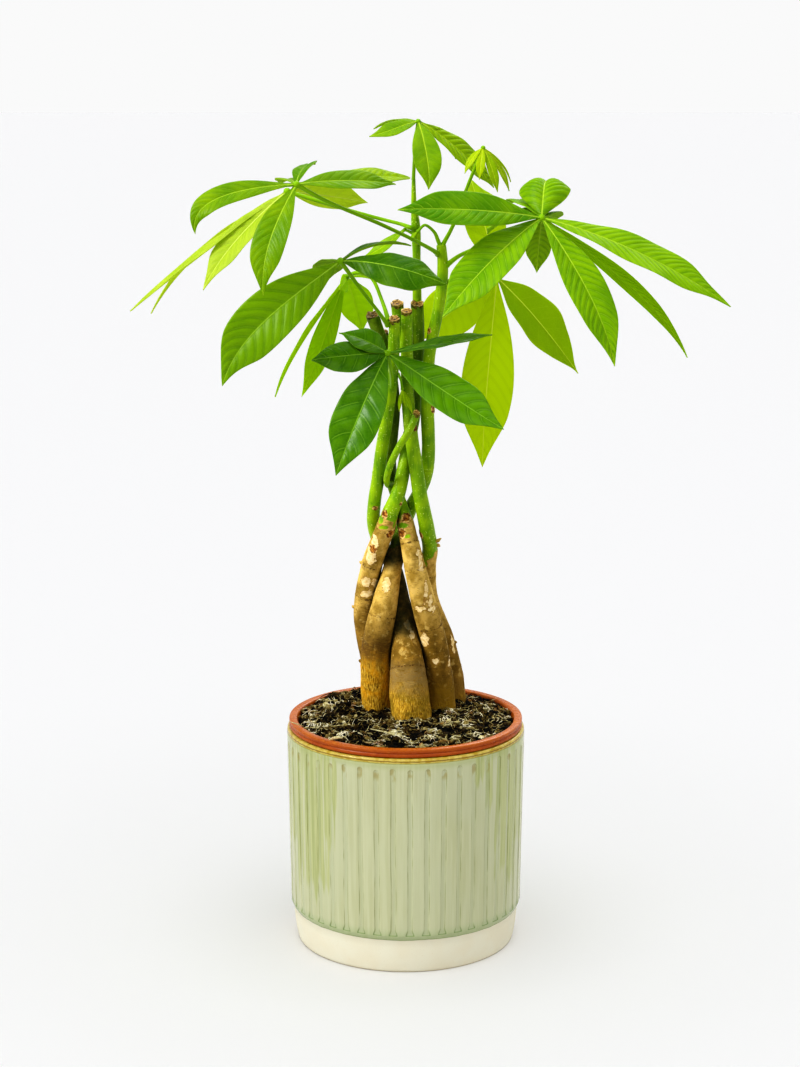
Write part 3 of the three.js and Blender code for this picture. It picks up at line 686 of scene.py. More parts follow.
# The stem of a trunk that still grows on, by its place in the trunk's list: the rest were cut.
growing = {"trunk_2": 0, "trunk_1": 1}
trunk_sides = 48
trunk_steps = 13
branch_sides = 28
branch_steps = 8
slanted_rings = 5
cut_slope = 0.42
bark_thick = 0.22
peel_depth = 0.2
ring_rise = 0.3
ring_groove = 0.32
scar_rim = 0.4
scar_dip = 0.3


def bark(name, ochre_top, base_tint, band_tint):
    """Tan bark with cream peeled patches, brown scars and a fibrous base, under green stem."""
    made = Finish(name + "_bark")
    height = made.height
    barked = (made.layer("bark") + (made.noise(1.6, 2) - 0.5) * 1.6).step(-0.1, 0.12)
    torn = (made.noise(2.4, 3) - 0.5) * 4 + (made.noise(0.7, 2) - 0.5)
    peeled = (made.layer("peel") + torn).step(-0.3, -0.15)
    scar = made.layer("scar") + (made.noise(1.1, 2) - 0.5) * 0.9
    ring = made.layer("ring")
    cut = made.layer("cut")

    # Green stem: brighter and duller lengths, faint fibres, small pale specks.
    fibre = made.streaks(2, 1.1, 1.1, 0.06)
    green = made.mix(made.noise(9, 2).step(0.3, 0.7), (98, 142, 0), (144, 176, 0))
    green = green.tint(fibre.step(0.3, 0.7) * 0.3, 166, 200, 8)
    speck = made.noise(0.9, 0).step(0.72, 0.78)
    green = green.tint(speck * 0.7, 206, 222, 120)

    # Bark: blotches, olive shadows, short cross checks and pits, greyer above the base.
    blotch = made.noise(5.5, 3)
    high = height.step(148, 188)
    dull = made.mix(high, (110, 84, 20), (166, 136, 58))
    clean = made.mix(high, (146, 114, 42), (212, 180, 100))
    tan = made.mix(blotch.step(0.33, 0.66), dull, clean)
    tan = tan.tint(made.noise(10, 3).step(0.5, 0.68) * 0.6, 108, 84, 14)
    tan = tan.tint(made.noise(3, 2).step(0.56, 0.7) * 0.5, 206, 178, 108)
    check = made.streaks(4, 0.4, 0.4, 1.7)
    tan = tan.tint(check.step(0.57, 0.7) * (0.7 - 0.25 * high), 92, 66, 24)
    fine = made.noise(0.7, 2)
    tan = tan.tint(fine.step(0.62, 0.74) * (0.7 - 0.35 * high), 72, 48, 16)
    band = height.step(ochre_top - 4, ochre_top + 2) * height.step(ochre_top + 18, ochre_top + 9)
    tan = tan.tint(band * check.step(0.25, 0.55) * 0.85, *band_tint)

    # Fibrous base: ochre felt of fine bright and dark upright strands.
    strand = made.streaks(4, 2, 2, 0.4)
    ochre = made.mix(strand.step(0.34, 0.6), (122, 90, 12), (196, 158, 50))
    ochre = ochre.tint(made.noise(6, 2).step(0.4, 0.62) * 0.6, *base_tint)
    ochre = ochre.tint(strand.step(0.58, 0.72) * 0.7, 222, 196, 120)
    fleck = made.streaks(3, 1.4, 1.4, 0.8)
    ochre = ochre.tint(fleck.step(0.58, 0.7) * 0.3, 78, 56, 12)
    ragged = (strand - 0.5) * 12 + (blotch - 0.5) * 14
    low = (height + ragged).step(ochre_top + 9, ochre_top - 7)
    tan = made.mix(low, tan, ochre)
    tan = tan.tint(height.step(120, 116) * made.noise(2, 2).step(0.4, 0.6), 60, 42, 14)

    # Peeled patches show cream wood; rings are rows of dark pits; scars are rusty.
    cream = made.mix(made.noise(1.5, 2).step(0.3, 0.7), (214, 184, 120), (236, 216, 168))
    edge = (made.layer("peel") + torn).line(-0.42, 0.22) * 0.7
    tan = tan.tint(edge, 132, 92, 36)
    tan = made.mix(peeled, tan, cream)
    pits = made.noise(1.1, 1).step(0.5, 0.6)
    tan = tan.tint(ring.line(0, 1) * pits * 0.9, 66, 42, 12)
    tan = tan.tint(ring.line(0, 0.45) * 0.35, 96, 68, 26)
    colour = made.mix(barked, green, tan)
    lip = made.layer("bark").line(0.2, 0.6) * made.noise(3, 1).step(0.4, 0.55)
    colour = colour.tint(lip * 0.85, 196, 156, 92)
    colour = colour.tint(ring.line(0, 0.35) * (1 - barked) * 0.4, 96, 104, 0)
    rust = made.mix(made.noise(1.2, 2).step(0.35, 0.65), (112, 66, 16), (190, 132, 56))
    rim_tone = made.mix(made.noise(1.6, 1).step(0.4, 0.6), (110, 66, 20), (222, 188, 118))
    colour = made.mix(scar.step(-0.45, -0.2), colour, rim_tone)
    colour = made.mix(scar.step(0.2, 0.7), colour, rust)

    # A pruned end: torn brown skin, a dry tan rim, brown wood and dark pith.
    dead = (cut + (made.noise(1.8, 3) - 0.5) * 6).step(-2.5, -2.1)
    skin_tone = made.mix(made.noise(1.1, 3).step(0.42, 0.58), (64, 48, 10), (128, 104, 44))
    colour = made.mix(dead * 0.9, colour, skin_tone)
    wood = made.mix(made.noise(0.8, 3).step(0.35, 0.65), (112, 78, 30), (186, 148, 84))
    colour = made.mix(cut.step(0.15, 0.5), colour, wood)
    dry = made.mix(made.noise(1.1, 2).step(0.38, 0.55), (140, 104, 44), (224, 192, 122))
    colour = made.mix(cut.line(-0.15, 0.75).step(0, 0.5) * made.noise(1.6, 1).step(0.28, 0.42),
                      colour, dry)
    colour = colour.tint(cut.step(1.7, 2.4), 66, 44, 14)

    # Painted shade darkens the stems where they press together and along stretches that lie in shade.
    grime = made.layer("grime") * (0.75 + 0.5 * made.noise(3, 2))
    colour = colour.tint(grime.step(0, 1), 20, 26, 0)

    rough = 0.4 + barked * 0.42
    relief = check * 0.6 * barked + strand * low * barked * 1.4 + fine * 0.4
    return made.done(made.surface(colour, rough, made.bump(relief, 0.4), 0.2))


def facing(bearing):
    """The level direction of a bearing in degrees."""
    return np.array((math.cos(math.radians(bearing)), math.sin(math.radians(bearing)), 0))


def marked(spots, centres, outward, points):
    """Millimetres inside the nearest of some marks, negative outside, at every point."""
    inside = np.full(points.shape[:2], -9.0)
    for height, bearing, tall, wide in spots:
        at = np.argmin(np.abs(centres[:, 2] - height))
        column = np.argmax(outward[at] @ facing(bearing))
        off = points - points[at, column]
        up = off[..., 2]
        across = np.sqrt(np.maximum((off ** 2).sum(axis=-1) - up ** 2, 0))
        share = np.sqrt((up / tall) ** 2 + (across / wide) ** 2)
        inside = np.maximum(inside, (1 - share) * min(tall, wide))
    return inside


def trunk_skin(name, rows, branch):
    """A stem's skin with its bark, scars and end, and the layers its finish reads."""
    sides, steps = (branch_sides, branch_steps) if branch else (trunk_sides, trunk_steps)
    spots = {} if branch else marks[name]
    points, centres, along, outward = tube(rows, sides, steps)
    flat = points.reshape(-1, 3)
    seed = 10 * list(trunks).index(name) + branch
    wavy = np.array([noise.noise(Vector(p) / 8 + Vector((seed, 0, 0))) for p in flat])
    ragged = np.array([noise.noise(Vector((p[0] / 4, p[1] / 4, p[2] / 6 + seed))) for p in flat])
    rough = np.array([noise.noise(Vector((p[0] / 1.6, p[1] / 1.6, p[2] / 5 + seed))) for p in flat])
    wavy, ragged, rough = (values.reshape(points.shape[:2]) for values in (wavy, ragged, rough))
    level = points[..., 2]
    moss, peel, scar = (marked(spots.get(kind, []), centres, outward, points)
                        for kind in ("moss", "peel", "scar"))
    bark_edge = np.minimum(green_from[name] - level + 9 * ragged, -moss - 0.8 * ragged)
    bark_edge = np.clip(bark_edge, -4, -4 if branch else 4)
    peel = np.clip(peel, -3, 2)
    scar = np.clip(scar, -2, 3)
    ring = np.full_like(level, 9.0)
    tilt = 0.5 * wavy + 0.25 * ragged
    for height in spots.get("ring", []):
        at = np.argmin(np.abs(centres[:, 2] - height))
        away = (points - centres[at]) @ along[at] + tilt
        ring = np.minimum(ring, np.abs(away))
    barked = smooth(-0.2, 0.3, bark_edge)
    swell = 0.035 * wavy * np.linalg.norm(points - centres[:, None], axis=-1)
    swell += bark_thick * barked
    swell -= peel_depth * smooth(-0.1, 0.4, peel) * barked
    swell += ring_rise * np.exp(-(ring / 1.1) ** 2) - ring_groove * np.exp(-(ring / 0.4) ** 2)
    swell += scar_rim * np.exp(-((scar + 0.1) / 0.5) ** 2) - scar_dip * smooth(0.3, 1, scar)
    fibrous = smooth(146, 130, level) * barked
    swell += rough * (0.1 + 0.3 * fibrous) * barked
    points = points + outward * swell[..., None]
    cut = np.full_like(level, -4.0)
    middle, end = centres[-1], along[-1]

    # The tip is closed by rings of (share of its width, drop, millimetres inside the cut): a bud's
    # dome, or a slanted and torn cut that is hollow at its pith.
    if growing.get(name) == branch:
        closing = [(share, -0.9 * math.sqrt(1 - share ** 2), -4) for share in (0.86, 0.6, 0.25)]
    else:
        closing = [(0.9, 0.25, 0.1), (0.8, 0.2, 0.4), (0.66, 0.55, 0.8), (0.34, 0.75, 1.5),
                   (0.14, 0.5, 2.6)]
        for back in range(slanted_rings):
            slanting, hub = points[-1 - back], centres[-1 - back]
            flat_cut = hub[2] + cut_slope * (slanting[:, 1] - hub[1])
            slanting[:, 2] += 0.9 * (1 - back / slanted_rings) * (flat_cut - slanting[:, 2])
        gone = np.linalg.norm(centres - middle, axis=-1)[:, None]
        cut = np.clip(-0.5 - gone + 0 * cut, -4, 0)
        jag = [noise.noise(Vector(p) / 2.6) + 0.3 * noise.noise(Vector(p)) for p in points[-1]]
        points[-1] += np.outer(jag, 1.1 * end) + 0.3 * np.array(jag)[:, None] * outward[-1]
    top = points[-1]
    inner = [middle + (top - middle) * share - end * drop for share, drop, _ in closing]
    points = np.concatenate([points, inner])
    cut = np.concatenate([cut, [np.full(sides, inside) for _, _, inside in closing]])
    layers = {"bark": bark_edge, "peel": peel, "scar": scar, "ring": ring}
    for layer, values in layers.items():
        layers[layer] = np.concatenate([values, np.repeat(values[-1:], len(closing), axis=0)]).ravel()
    return skin(points), {**layers, "cut": cut.ravel()}


def joined(layers):
    """The layers of several skins, end to end."""
    return {layer: np.concatenate([of_skin[layer] for of_skin in layers]) for layer in layers[0]}


def even(count, **numbers):
    """Layers that keep the same number at all of so many points."""
    return {layer: np.full(count, float(number)) for layer, number in numbers.items()}


def painted_shade_at(name, branch, points):
    """Share of painted shade at every point: near another stem, where shade falls between them, and along
    the stem's own stretches that lie in shade.
    """
    near = np.full(len(points), 9.0)
    for rows in [rows for other in trunks if other != name for rows in trunks[other]]:
        for x, y, z, radius in through(rows, np.linspace(0, len(rows) - 1, 6 * len(rows))):
            near = np.minimum(near, np.linalg.norm(points - (x, y, z), axis=1) - radius)
    dark = 0.75 * smooth(2.8, 0.4, near)
    if branch == 0:
        for low_end, high_end, share in shade_stretches[name]:
            zone = smooth(low_end - 5, low_end + 5, points[:, 2])
            zone = zone * smooth(high_end + 5, high_end - 5, points[:, 2])
            dark = np.maximum(dark, share * zone)
    return dark


# Each stem's fibrous base: its top and its tint, and the tint of the band above it.
finishes = {
    "trunk_1": (126, (176, 132, 20), (104, 78, 26)),
    "trunk_2": (144, (216, 156, 10), (96, 68, 20)),
    "trunk_3": (132, (126, 106, 18), (136, 114, 68)),
    "trunk_4": (119, (132, 104, 16), (140, 110, 22)),
    "trunk_5": (118, (136, 106, 32), (136, 106, 42)),
}
# Stretches of each stem painted dark as shade, from a height to a height, by a share.
shade_stretches = {
    "trunk_1": [(262, 345, 0.45)], "trunk_3": [(158, 206, 0.8)],
    "trunk_2": [(194, 211, 0.85), (150, 168, 0.3)],
    "trunk_4": [(236, 330, 0.6)], "trunk_5": [(262, 300, 0.3)],
}
for name, stems in trunks.items():
    skins, layers = [], []
    for branch, rows in enumerate(stems):
        made_skin, made_layers = trunk_skin(name, rows, branch)
        skins.append(made_skin)
        # Each point also keeps its share of painted shade, from nearby stems and shaded stretches.
        layers.append({**made_layers, "grime": painted_shade_at(name, branch, made_skin[0])})
    piece(name + "_stem", skins, bark(name, *finishes[name]), "bark", name, **joined(layers))

# Curled flakes of bark still held at one end: stem, height, bearing, length and lift. Each tapers
# along (share of its length, share of its lift, half its thickness).
flake_sides = 6
flake_steps = 4
flake_taper = [(-0.5, 0, 0.9), (0.3, 0.2, 1), (0.65, 0.6, 0.7), (1, 1, 0.25)]
flakes = []
for name, height, bearing, long, lift in (
        ("trunk_5", 208, -18, 2.6, 1.8), ("trunk_5", 205.6, -4, 1.6, -0.6),
        ("trunk_1", 195.5, 176, 1.7, 0.5), ("trunk_5", 150, -8, 1.5, 0.2),
        ("trunk_2", 143.6, 176, 1.3, 0.3), ("trunk_1", 170, 190, 1.2, 0.8)):
    rows = trunks[name][0]
    line = through(rows, np.linspace(0, len(rows) - 1, 600))
    *middle, radius = line[np.argmin(np.abs(line[:, 2] - height))]
    bent = [(*(middle + (radius + share * long) * facing(bearing) + (0, 0, lift * rise)), thick)
            for share, rise, thick in flake_taper]
    flakes.append(skin(tube(bent, flake_sides, flake_steps)[0]))
flake_points = sum(len(points) for points, _ in flakes)
piece("bark_flakes", flakes, bark("flake", 0, (200, 150, 80), (160, 130, 80)), "bark",
      **even(flake_points, bark=4, peel=-3, scar=-2, ring=9, cut=-4, grime=0))


# ------------------------------------------------------------------ leaves
# Palmate leaves: narrow pointed leaflets round a small knob on a thin stalk, which grows from a
# stem. Each is thin enough for light to shine through, and quilted between its side veins.


def leaf_green(name, deep, bright, vein_tone, glow, glow_share, roughness, specular, vein_share):
    """A thin leaf: pale ribs and faint side veins on green, lit through from behind."""
    made = Finish(name + "_green")
    upper, rib, row = made.layer("upper"), made.layer("rib"), made.layer("row")
    reach, stalk = made.layer("reach"), made.layer("stalk")
    patch = made.layer("shade") + (made.noise(13, 2) - 0.5) * 1.1
    colour = made.mix(patch.step(0, 1), deep, bright)
    # A leaflet whose shade is above 1 is painted in its glow colour, which is painted light standing in
    # for light shining through it, and it also lets more light through.
    painted_glow = made.layer("shade").step(1, 1.5)
    colour = colour.tint(painted_glow, *glow)
    vein = abs(row - row.math("ROUND", row))
    under = made.mix(0.5, bright, (172, 200, 40))
    colour = made.mix(upper, under, colour)
    # Along the side veins, which lie in the grooves of the quilting, the colour is painted darker as
    # shade.
    colour = colour.tint(vein.step(0.24, 0.06) * (0.1 + 0.7 * vein_share), *deep)
    net = made.add("TexVoronoi", {"feature": "DISTANCE_TO_EDGE"},
                   {"Vector": made.spot, "Scale": 0.6}, "Distance")
    colour = colour.tint(net.step(0.12, 0.02) * 0.08, *vein_tone)
    colour = colour.tint(reach.step(0.92, 1) * 0.3, *vein_tone)
    line = vein.step(0.055, 0.015) * reach.step(1, 0.7) * made.noise(6, 1).step(0.25, 0.5)
    colour = colour.tint(line * vein_share, *vein_tone)
    ribbed = rib.step(0.62, 0.3)
    colour = colour.tint(ribbed * 0.85, *vein_tone)
    colour = made.mix(stalk, colour, made.mix(made.noise(9, 1), (104, 150, 0), (142, 184, 0)))
    relief = (vein.step(0, 0.2) * 0.5 + net * 0.3) * (1 - stalk)
    shell = made.surface(colour, roughness + 0.2 * (1 - upper), made.bump(relief, 0.12), specular)
    lit = made.add("BsdfTranslucent", {}, {"Color": paint(*glow)})
    share = (1 - stalk) * (1 - ribbed * 0.4) * (glow_share + painted_glow * 0.4)
    return made.done(made.add("MixShader", {}, {0: share, 1: shell, 2: lit}))


def outline(share, widest):
    """Half width along a leaflet as a share of its widest: narrow at its foot and drawn out to
    a fine point."""
    swell = 1.15
    taper = swell * (1 - widest) / widest
    drawn = 1 - 0.45 * smooth(0.72, 1, share)
    return drawn * (share / widest) ** swell * ((1 - share) / (1 - widest)) ** taper


# Places across a blade, as shares of its half width, and half its thickness at edge and middle.
across = np.array([-1, -0.95, -0.84, -0.7, -0.55, -0.4, -0.26, -0.14, -0.06, 0,
                   0.06, 0.14, 0.26, 0.4, 0.55, 0.7, 0.84, 0.95, 1])
edge_half = 0.08
blade_half = 0.2


def leaflet(hub, draw, to, width, rise, face, spacing, fold=0.16, hook=(0, 0, 0), widest=0.56,
            ribbing=0.6, shade=0.5, curl=0):
    """One leaflet's skin and layers: its rib arches from the hub to its tip, and its blade is
    folded along the rib and quilted between the side veins; hook bends its tip."""
    hub, to, hook = np.array(hub), np.array(to, float), np.array(hook, float)
    length = np.linalg.norm(to)
    chord = to / length
    up = np.array(face, float)
    up -= up.dot(chord) * chord
    up /= np.linalg.norm(up)

    def rib_at(s):
        s = np.asarray(s)[..., None]
        return to * s + up * (4 * rise * s * (1 - s)) + hook * (s ** 4 - s)

    veins = max(6, round(length / spacing))
    rows = int(veins * (5 if length > 40 else 3))
    cell = np.linspace(0, 1, rows + 1)[:, None]
    side = across[None, :]
    lean = 0.13 + 0.05 * draw.random()
    share = cell + lean * np.abs(side) ** 1.3 * 4 * cell * (1 - cell)
    middle = rib_at(share)
    along = rib_at(share + 0.01) - rib_at(share - 0.01)
    along /= np.linalg.norm(along, axis=-1)[..., None]
    over = np.cross(along, up)
    over /= np.linalg.norm(over, axis=-1)[..., None]
    normal = np.cross(over, along)
    least = np.where(share < 0.5, min(0.9, 0.13 * width), 0.12)
    half = np.maximum(0.5 * width * outline(np.clip(share, 0, 1), widest), least)
    shift = 0.5 * (side < 0) + 0.16 * np.sin(7 * cell + 2 * np.sign(side) + draw.uniform(0, 6))
    row = cell * veins + shift
    between = 1 - (1 - 2 * np.abs(row - np.round(row))) ** 3
    bay = np.sin(math.pi * np.abs(side) ** 0.75) * smooth(0.03, 0.2, cell) * smooth(1, 0.85, cell)
    quilt = ribbing * min(1, width / 16) * between * bay
    count, phase = draw.uniform(2, 3.5), draw.uniform(0, 6.28)
    wave = np.sin(2 * math.pi * count * share + phase + 1.3 * np.sign(side))
    wave = wave * np.abs(side) ** 2.5 * min(0.7, 0.0013 * width ** 2) * smooth(0, 0.25, share)
    wave = wave * smooth(1, 0.8, share)
    bend = half * (fold * (np.abs(side) * 1.15 - 0.15 * side ** 2) - curl * side ** 2)
    lifted = bend + quilt + wave
    blade = middle + over * (side * half)[..., None] + normal * lifted[..., None]
    thin = np.where(np.abs(side) > 0.97, edge_half, blade_half)
    rib_size = 0.75 * (1 - 0.75 * cell) * min(1, width / 14)
    from_rib = np.abs(side) * half
    swollen = rib_size * np.sqrt(np.clip(1 - (from_rib / (rib_size * 1.5)) ** 2, 0, 1))
    top = blade + normal * (thin + 0.25 * swollen)[..., None]
    bottom = blade - normal * (thin + 0.9 * swollen)[..., None]

    def wrapped(over_side, under_side):
        """Rows of numbers for the upper side and the lower, joined into rings round the blade."""
        return np.concatenate([over_side, under_side[:, ::-1]], axis=1)[:, ::-1]

    layers = {"rib": from_rib / np.maximum(rib_size, 0.3), "row": row,
              "reach": np.abs(side) + 0 * cell, "stalk": np.zeros_like(row),
              "shade": np.full_like(row, shade)}
    layers = {layer: wrapped(values, values).ravel() for layer, values in layers.items()}
    layers["upper"] = wrapped(np.ones_like(row), np.zeros_like(row)).ravel()
    return skin(wrapped(top, bottom) + hub), layers


stalk_sides = 14
stalk_steps = 10
sunk_depth = 1.6
sunk_flare = 1.3


def grow(name, seed, stalk, leaflets, root=None, hub=1.9, spacing=5.5, **greens):
    """A leaf on its stalk, whose rows are (x, y, z, radius). The stalk starts a little inside the
    stem, or at a root of its own; hub is its knob's radius, spacing that of the side veins."""
    draw = random.Random(seed)
    start, after = np.array(stalk[0]), np.array(stalk[1])
    back = (start - after)[:3] / np.linalg.norm((start - after)[:3])
    sunk = (*(start[:3] + sunk_depth * back), sunk_flare * start[3])
    knob_at = stalk[-1][:3]
    skins = [skin(tube([root or sunk, *stalk], stalk_sides, stalk_steps)[0]),
             (ball_points * hub + knob_at, ball_faces)]
    layers = [even(len(points), rib=9, row=0.5, reach=0, stalk=1, shade=0.5, upper=1)
              for points, _ in skins]
    for shape in leaflets:
        made_skin, made_layers = leaflet(knob_at, draw, **{"spacing": spacing, **shape})
        skins.append(made_skin)
        layers.append(made_layers)
    piece(name.replace("leaf", "foliage"), skins, leaf_green(name, **greens), "leaf", name,
          **joined(layers))


def blade(to, width, rise, face=(0, 0, 1), **others):
    """A leaflet's measures: it runs from the knob to the point "to", its rib arches by rise and
    its upper surface looks towards face."""
    return {"to": to, "width": width, "rise": rise, "face": face, **others}


grow("leaf_left", seed=40,
     stalk=[(15.4, 5.6, 355.5, 1.3), (12, -3.5, 358.5, 1), (3, -12.5, 364, 0.9), (-13, -23.5, 372.5, 0.9),
            (-36.5, -37, 383.5, 0.9), (-52, -44, 392.5, 1.1)],
     spacing=4.6,
     deep=(86, 134, 0), bright=(158, 186, 0), vein_tone=(176, 204, 60), glow=(190, 218, 0),
     glow_share=0.35, roughness=0.34, specular=0.14, vein_share=0.5,
     leaflets=[
         blade((-47, -16, -22), 12.5, 5, (0, -0.75, 0.7), hook=(19.5, 0, -8), shade=0.4),
         blade((-15, -23, -50), 16.5, 4, (-0.2, -1, 0.4), hook=(6, 0, -3), shade=0.4),
         blade((47, 18, -1), 14.5, 2, (0, -0.6, 0.8), shade=0.3),
         blade((54, 33, 1), 13.5, 2, (0, -0.6, 1), widest=0.68, shade=1),
         blade((8, 29, 8), 11, 3, (-0.4, -0.3, 1), shade=0.2),
         blade((-9, 23, -1), 11, 2),
     ])
grow("leaf_left_low", seed=41,
     stalk=[(2, 8, 368, 1.2), (-3, 12, 369.5, 0.9), (-18, 16, 373, 0.9), (-37.5, 17, 378.5, 0.9),
            (-59.5, 20, 385, 1.1)],
     root=(4.8, 10.6, 367.6, 1.2),
     deep=(160, 188, 50), bright=(204, 218, 84), vein_tone=(214, 226, 124), glow=(216, 230, 70),
     glow_share=0.5, roughness=0.4, specular=0.14, vein_share=0.3,
     leaflets=[
         blade((-78, -18, -58), 15.5, 1),
         blade((-71, 14, -63), 14.5, 1, hook=(3, 0, -12.5)),
         blade((-41, -23, -47), 16.5, 2, (-0.4, -0.7, 0.6), hook=(2, 0, -4)),
         blade((40, 20, -7), 14.5, 2, (0, 1, 0.25), shade=1),
     ])
grow("leaf_middle", seed=42,
     stalk=[(-9.6, -3.6, 321.5, 1.2), (-14, -14, 329, 0.9), (-22.5, -25, 341.5, 0.9),
            (-31.5, -36, 355.5, 1.1)],
     spacing=6.6,
     deep=(48, 98, 0), bright=(122, 160, 0), vein_tone=(156, 190, 60), glow=(154, 198, 0),
     glow_share=0.27, roughness=0.3, specular=0.13, vein_share=0.3,
     leaflets=[
         blade((-57, -10, -59), 26.5, 2, (-0.1, -1, 0.3), hook=(10, 0, -9), shade=0.95),
         blade((51, -14, -10), 19.5, 5, (0, -0.75, 0.65), fold=-0.25, shade=0.3),
         blade((34, 16, 6), 12, 4, (0, 0.1, 1), shade=0.2),
         blade((-9, 27, -14), 16.5, 4, shade=1),
     ])
grow("leaf_middle_low", seed=43,
     stalk=[(-9, 0.4, 323.5, 1.2), (-12, 8.5, 331.5, 0.9), (-17, 14, 342, 0.9), (-24.5, 18.5, 344.5, 0.9),
            (-30.5, 24, 341.5, 1.1)],
     deep=(126, 174, 0), bright=(184, 216, 0), vein_tone=(202, 226, 60), glow=(206, 232, 0),
     glow_share=0.57, roughness=0.4, specular=0.12, vein_share=0.25,
     leaflets=[
         blade((-36, -8, -60), 15.5, 0, (-0.9, 0.1, 0.5), hook=(3, 0, -5), shade=0.3),
         blade((-23, 6, -62), 12, 1, (-0.2, -1, 0.1), hook=(-2, 0, 0)),
         blade((8, 24, -31), 18.5, 4, (0, 0.78, 0.62), shade=1),
         blade((19, 14, -5), 10, 2),
         blade((-3, -19, -4), 9, 1, (1, 0, 0.3)),
     ])
grow("leaf_front", seed=44,
     stalk=[(-6.8, -5, 291, 1.3), (-7, -12, 297, 1), (-8, -18, 303, 1), (-9, -22, 309, 1.2)],
     spacing=7.4,
     deep=(44, 98, 0), bright=(102, 150, 0), vein_tone=(136, 178, 50), glow=(120, 172, 0),
     glow_share=0.17, roughness=0.24, specular=0.18, vein_share=0.5,
     leaflets=[
         blade((-24, 8, 9), 15.5, 2, (0.1, -0.6, 0.8), widest=0.44),
         blade((-37, -10, -2), 19, 1, (0, -0.7, 0.7), fold=-0.1),
         blade((-25, -26, -56), 24, 5, (-0.1, -0.85, 0.4), ribbing=0.6),
         blade((56, -28, -33), 21, 1, (0.1, -0.9, 0.5), hook=(0, 0, 2), shade=0.7),
         blade((51, -6, 10), 14, 0, (0, -0.25, 1)),
     ])
grow("leaf_right", seed=45,
     stalk=[(21.6, 5.8, 350.5, 1.3), (27, 0, 355, 1), (36, -12, 360, 1), (55, -28, 368, 1),
            (65, -34, 376, 1.2)],
     spacing=4.4,
     deep=(74, 132, 0), bright=(150, 188, 0), vein_tone=(180, 208, 60), glow=(190, 220, 0),
     glow_share=0.35, roughness=0.36, specular=0.13, vein_share=0.8,
     leaflets=[
         blade((-69, -28, 6), 20, 3, (0, -0.8, 0.6), shade=0.3),
         blade((-48, -32, -44), 24, 5, (-0.2, -0.8, 0.6), shade=0.6),
         blade((34, -26, -68), 20, 4, (0.3, -0.9, 0.3), hook=(-4, 0, -4), shade=0.6),
         blade((91, -6, -42), 20, 6, (0.1, -0.6, 0.8), shade=0.7),
         blade((73, 12, -69), 11, 1, (0.3, -0.7, 0.8), hook=(-7, 0, -8), shade=1.5),
         blade((6, 40, 2), 25, 15, fold=0.3, widest=0.36, ribbing=1.2, shade=0.6, spacing=2.3, curl=0.55),
         blade((8, 34, -5), 14, 3),
         blade((-15, 35, 4), 14, 4, ribbing=0.8, spacing=3.4),
         blade((-25, 28, -10), 18, 4, (-0.2, -0.3, 1), ribbing=0.8, shade=1, spacing=3.4),
         blade((-1, 18, -28), 13, 3, (0, 1, 0.3), ribbing=0.9, spacing=3),
     ])
grow("leaf_right_low", seed=46,
     stalk=[(21.2, 9.6, 341, 1.2), (27, 16, 342, 1), (37.5, 19.5, 343, 1), (46, 20, 341.5, 1.2)],
     spacing=6.6,
     deep=(110, 152, 0), bright=(192, 216, 0), vein_tone=(224, 232, 90), glow=(216, 232, 0),
     glow_share=0.56, roughness=0.42, specular=0.12, vein_share=0.12,
     leaflets=[
         blade((-7, -10, -95), 26.5, 2, (0, -1, 0), hook=(2, 0, 0), ribbing=0.12, shade=1),
         blade((42, 4, -49), 25.5, 4, (0.5, -0.8, 0.4), hook=(2, 0, 0), widest=0.48, ribbing=0.2,
               shade=0),
         blade((-41, 35, -36), 27.5, 2, (0.3, 0.9, 0.4), ribbing=0.2, shade=0.9),
         blade((-13, 27, 48), 21.5, 3, (0.2, -0.9, 0.3)),
     ])
grow("leaf_top", seed=47,
     stalk=[(3.8, 9.4, 393.2, 0.9), (4.5, 8.5, 408, 0.8), (6, 8, 420, 0.9)],
     hub=1.4, spacing=3.6,
     deep=(88, 138, 0), bright=(156, 188, 0), vein_tone=(186, 210, 50), glow=(190, 216, 0),
     glow_share=0.36, roughness=0.34, specular=0.16, vein_share=0.5,
     leaflets=[
         blade((-24, -8, -7), 10, 1.5, (0, -0.6, 0.8), hook=(-3, 0, 2)),
         blade((-22, 8, -4), 9, 2),
         blade((5, -20, -32), 14, 3, (0.1, -0.9, 0.3), hook=(-2.5, 0, 0)),
         blade((38, 10, -33), 15, 3, (0.3, -0.6, 0.7), ribbing=0.9, shade=0.95),
         blade((19, 14, -19), 11, 3, (0.3, 0, 1), ribbing=0.7),
     ])
grow("leaf_young", seed=48,
     stalk=[(19.2, 7, 361, 1.1), (24, 2.5, 371, 0.9), (30, -3.5, 388.5, 0.8), (37.5, -10, 408, 0.9)],
     hub=1.2,
     deep=(138, 174, 0), bright=(194, 212, 0), vein_tone=(210, 222, 60), glow=(210, 226, 0),
     glow_share=0.4, roughness=0.36, specular=0.14, vein_share=0.6,
     leaflets=[
         blade((-9, -5, -12), 4, 2, (-0.5, -0.8, 0.3)),
         blade((-2, -7, -15), 4.5, 2, (-0.1, -0.9, 0.3)),
         blade((7, -6, -21), 5, 2, (0.3, -0.9, 0.3), shade=0.1),
         blade((13, 3, -21), 4.5, 2, (0.6, -0.6, 0.5)),
         blade((14, 9, -17), 4, 2, (0.6, 0, 0.8)),
     ])
grow("leaf_node", seed=49,
     stalk=[(2, 12.3, 365.5, 0.8), (0.8, 12.6, 366, 0.7), (-0.5, 13, 366.5, 0.7)],
     hub=1,
     deep=(126, 170, 0), bright=(166, 200, 0), vein_tone=(190, 214, 40), glow=(200, 224, 0),
     glow_share=0.4, roughness=0.4, specular=0.14, vein_share=0.4,
     leaflets=[
         blade((-21, 3, -14), 7, 0, (-0.3, -0.7, 0.6), hook=(-2, 0, 2)),
     ])
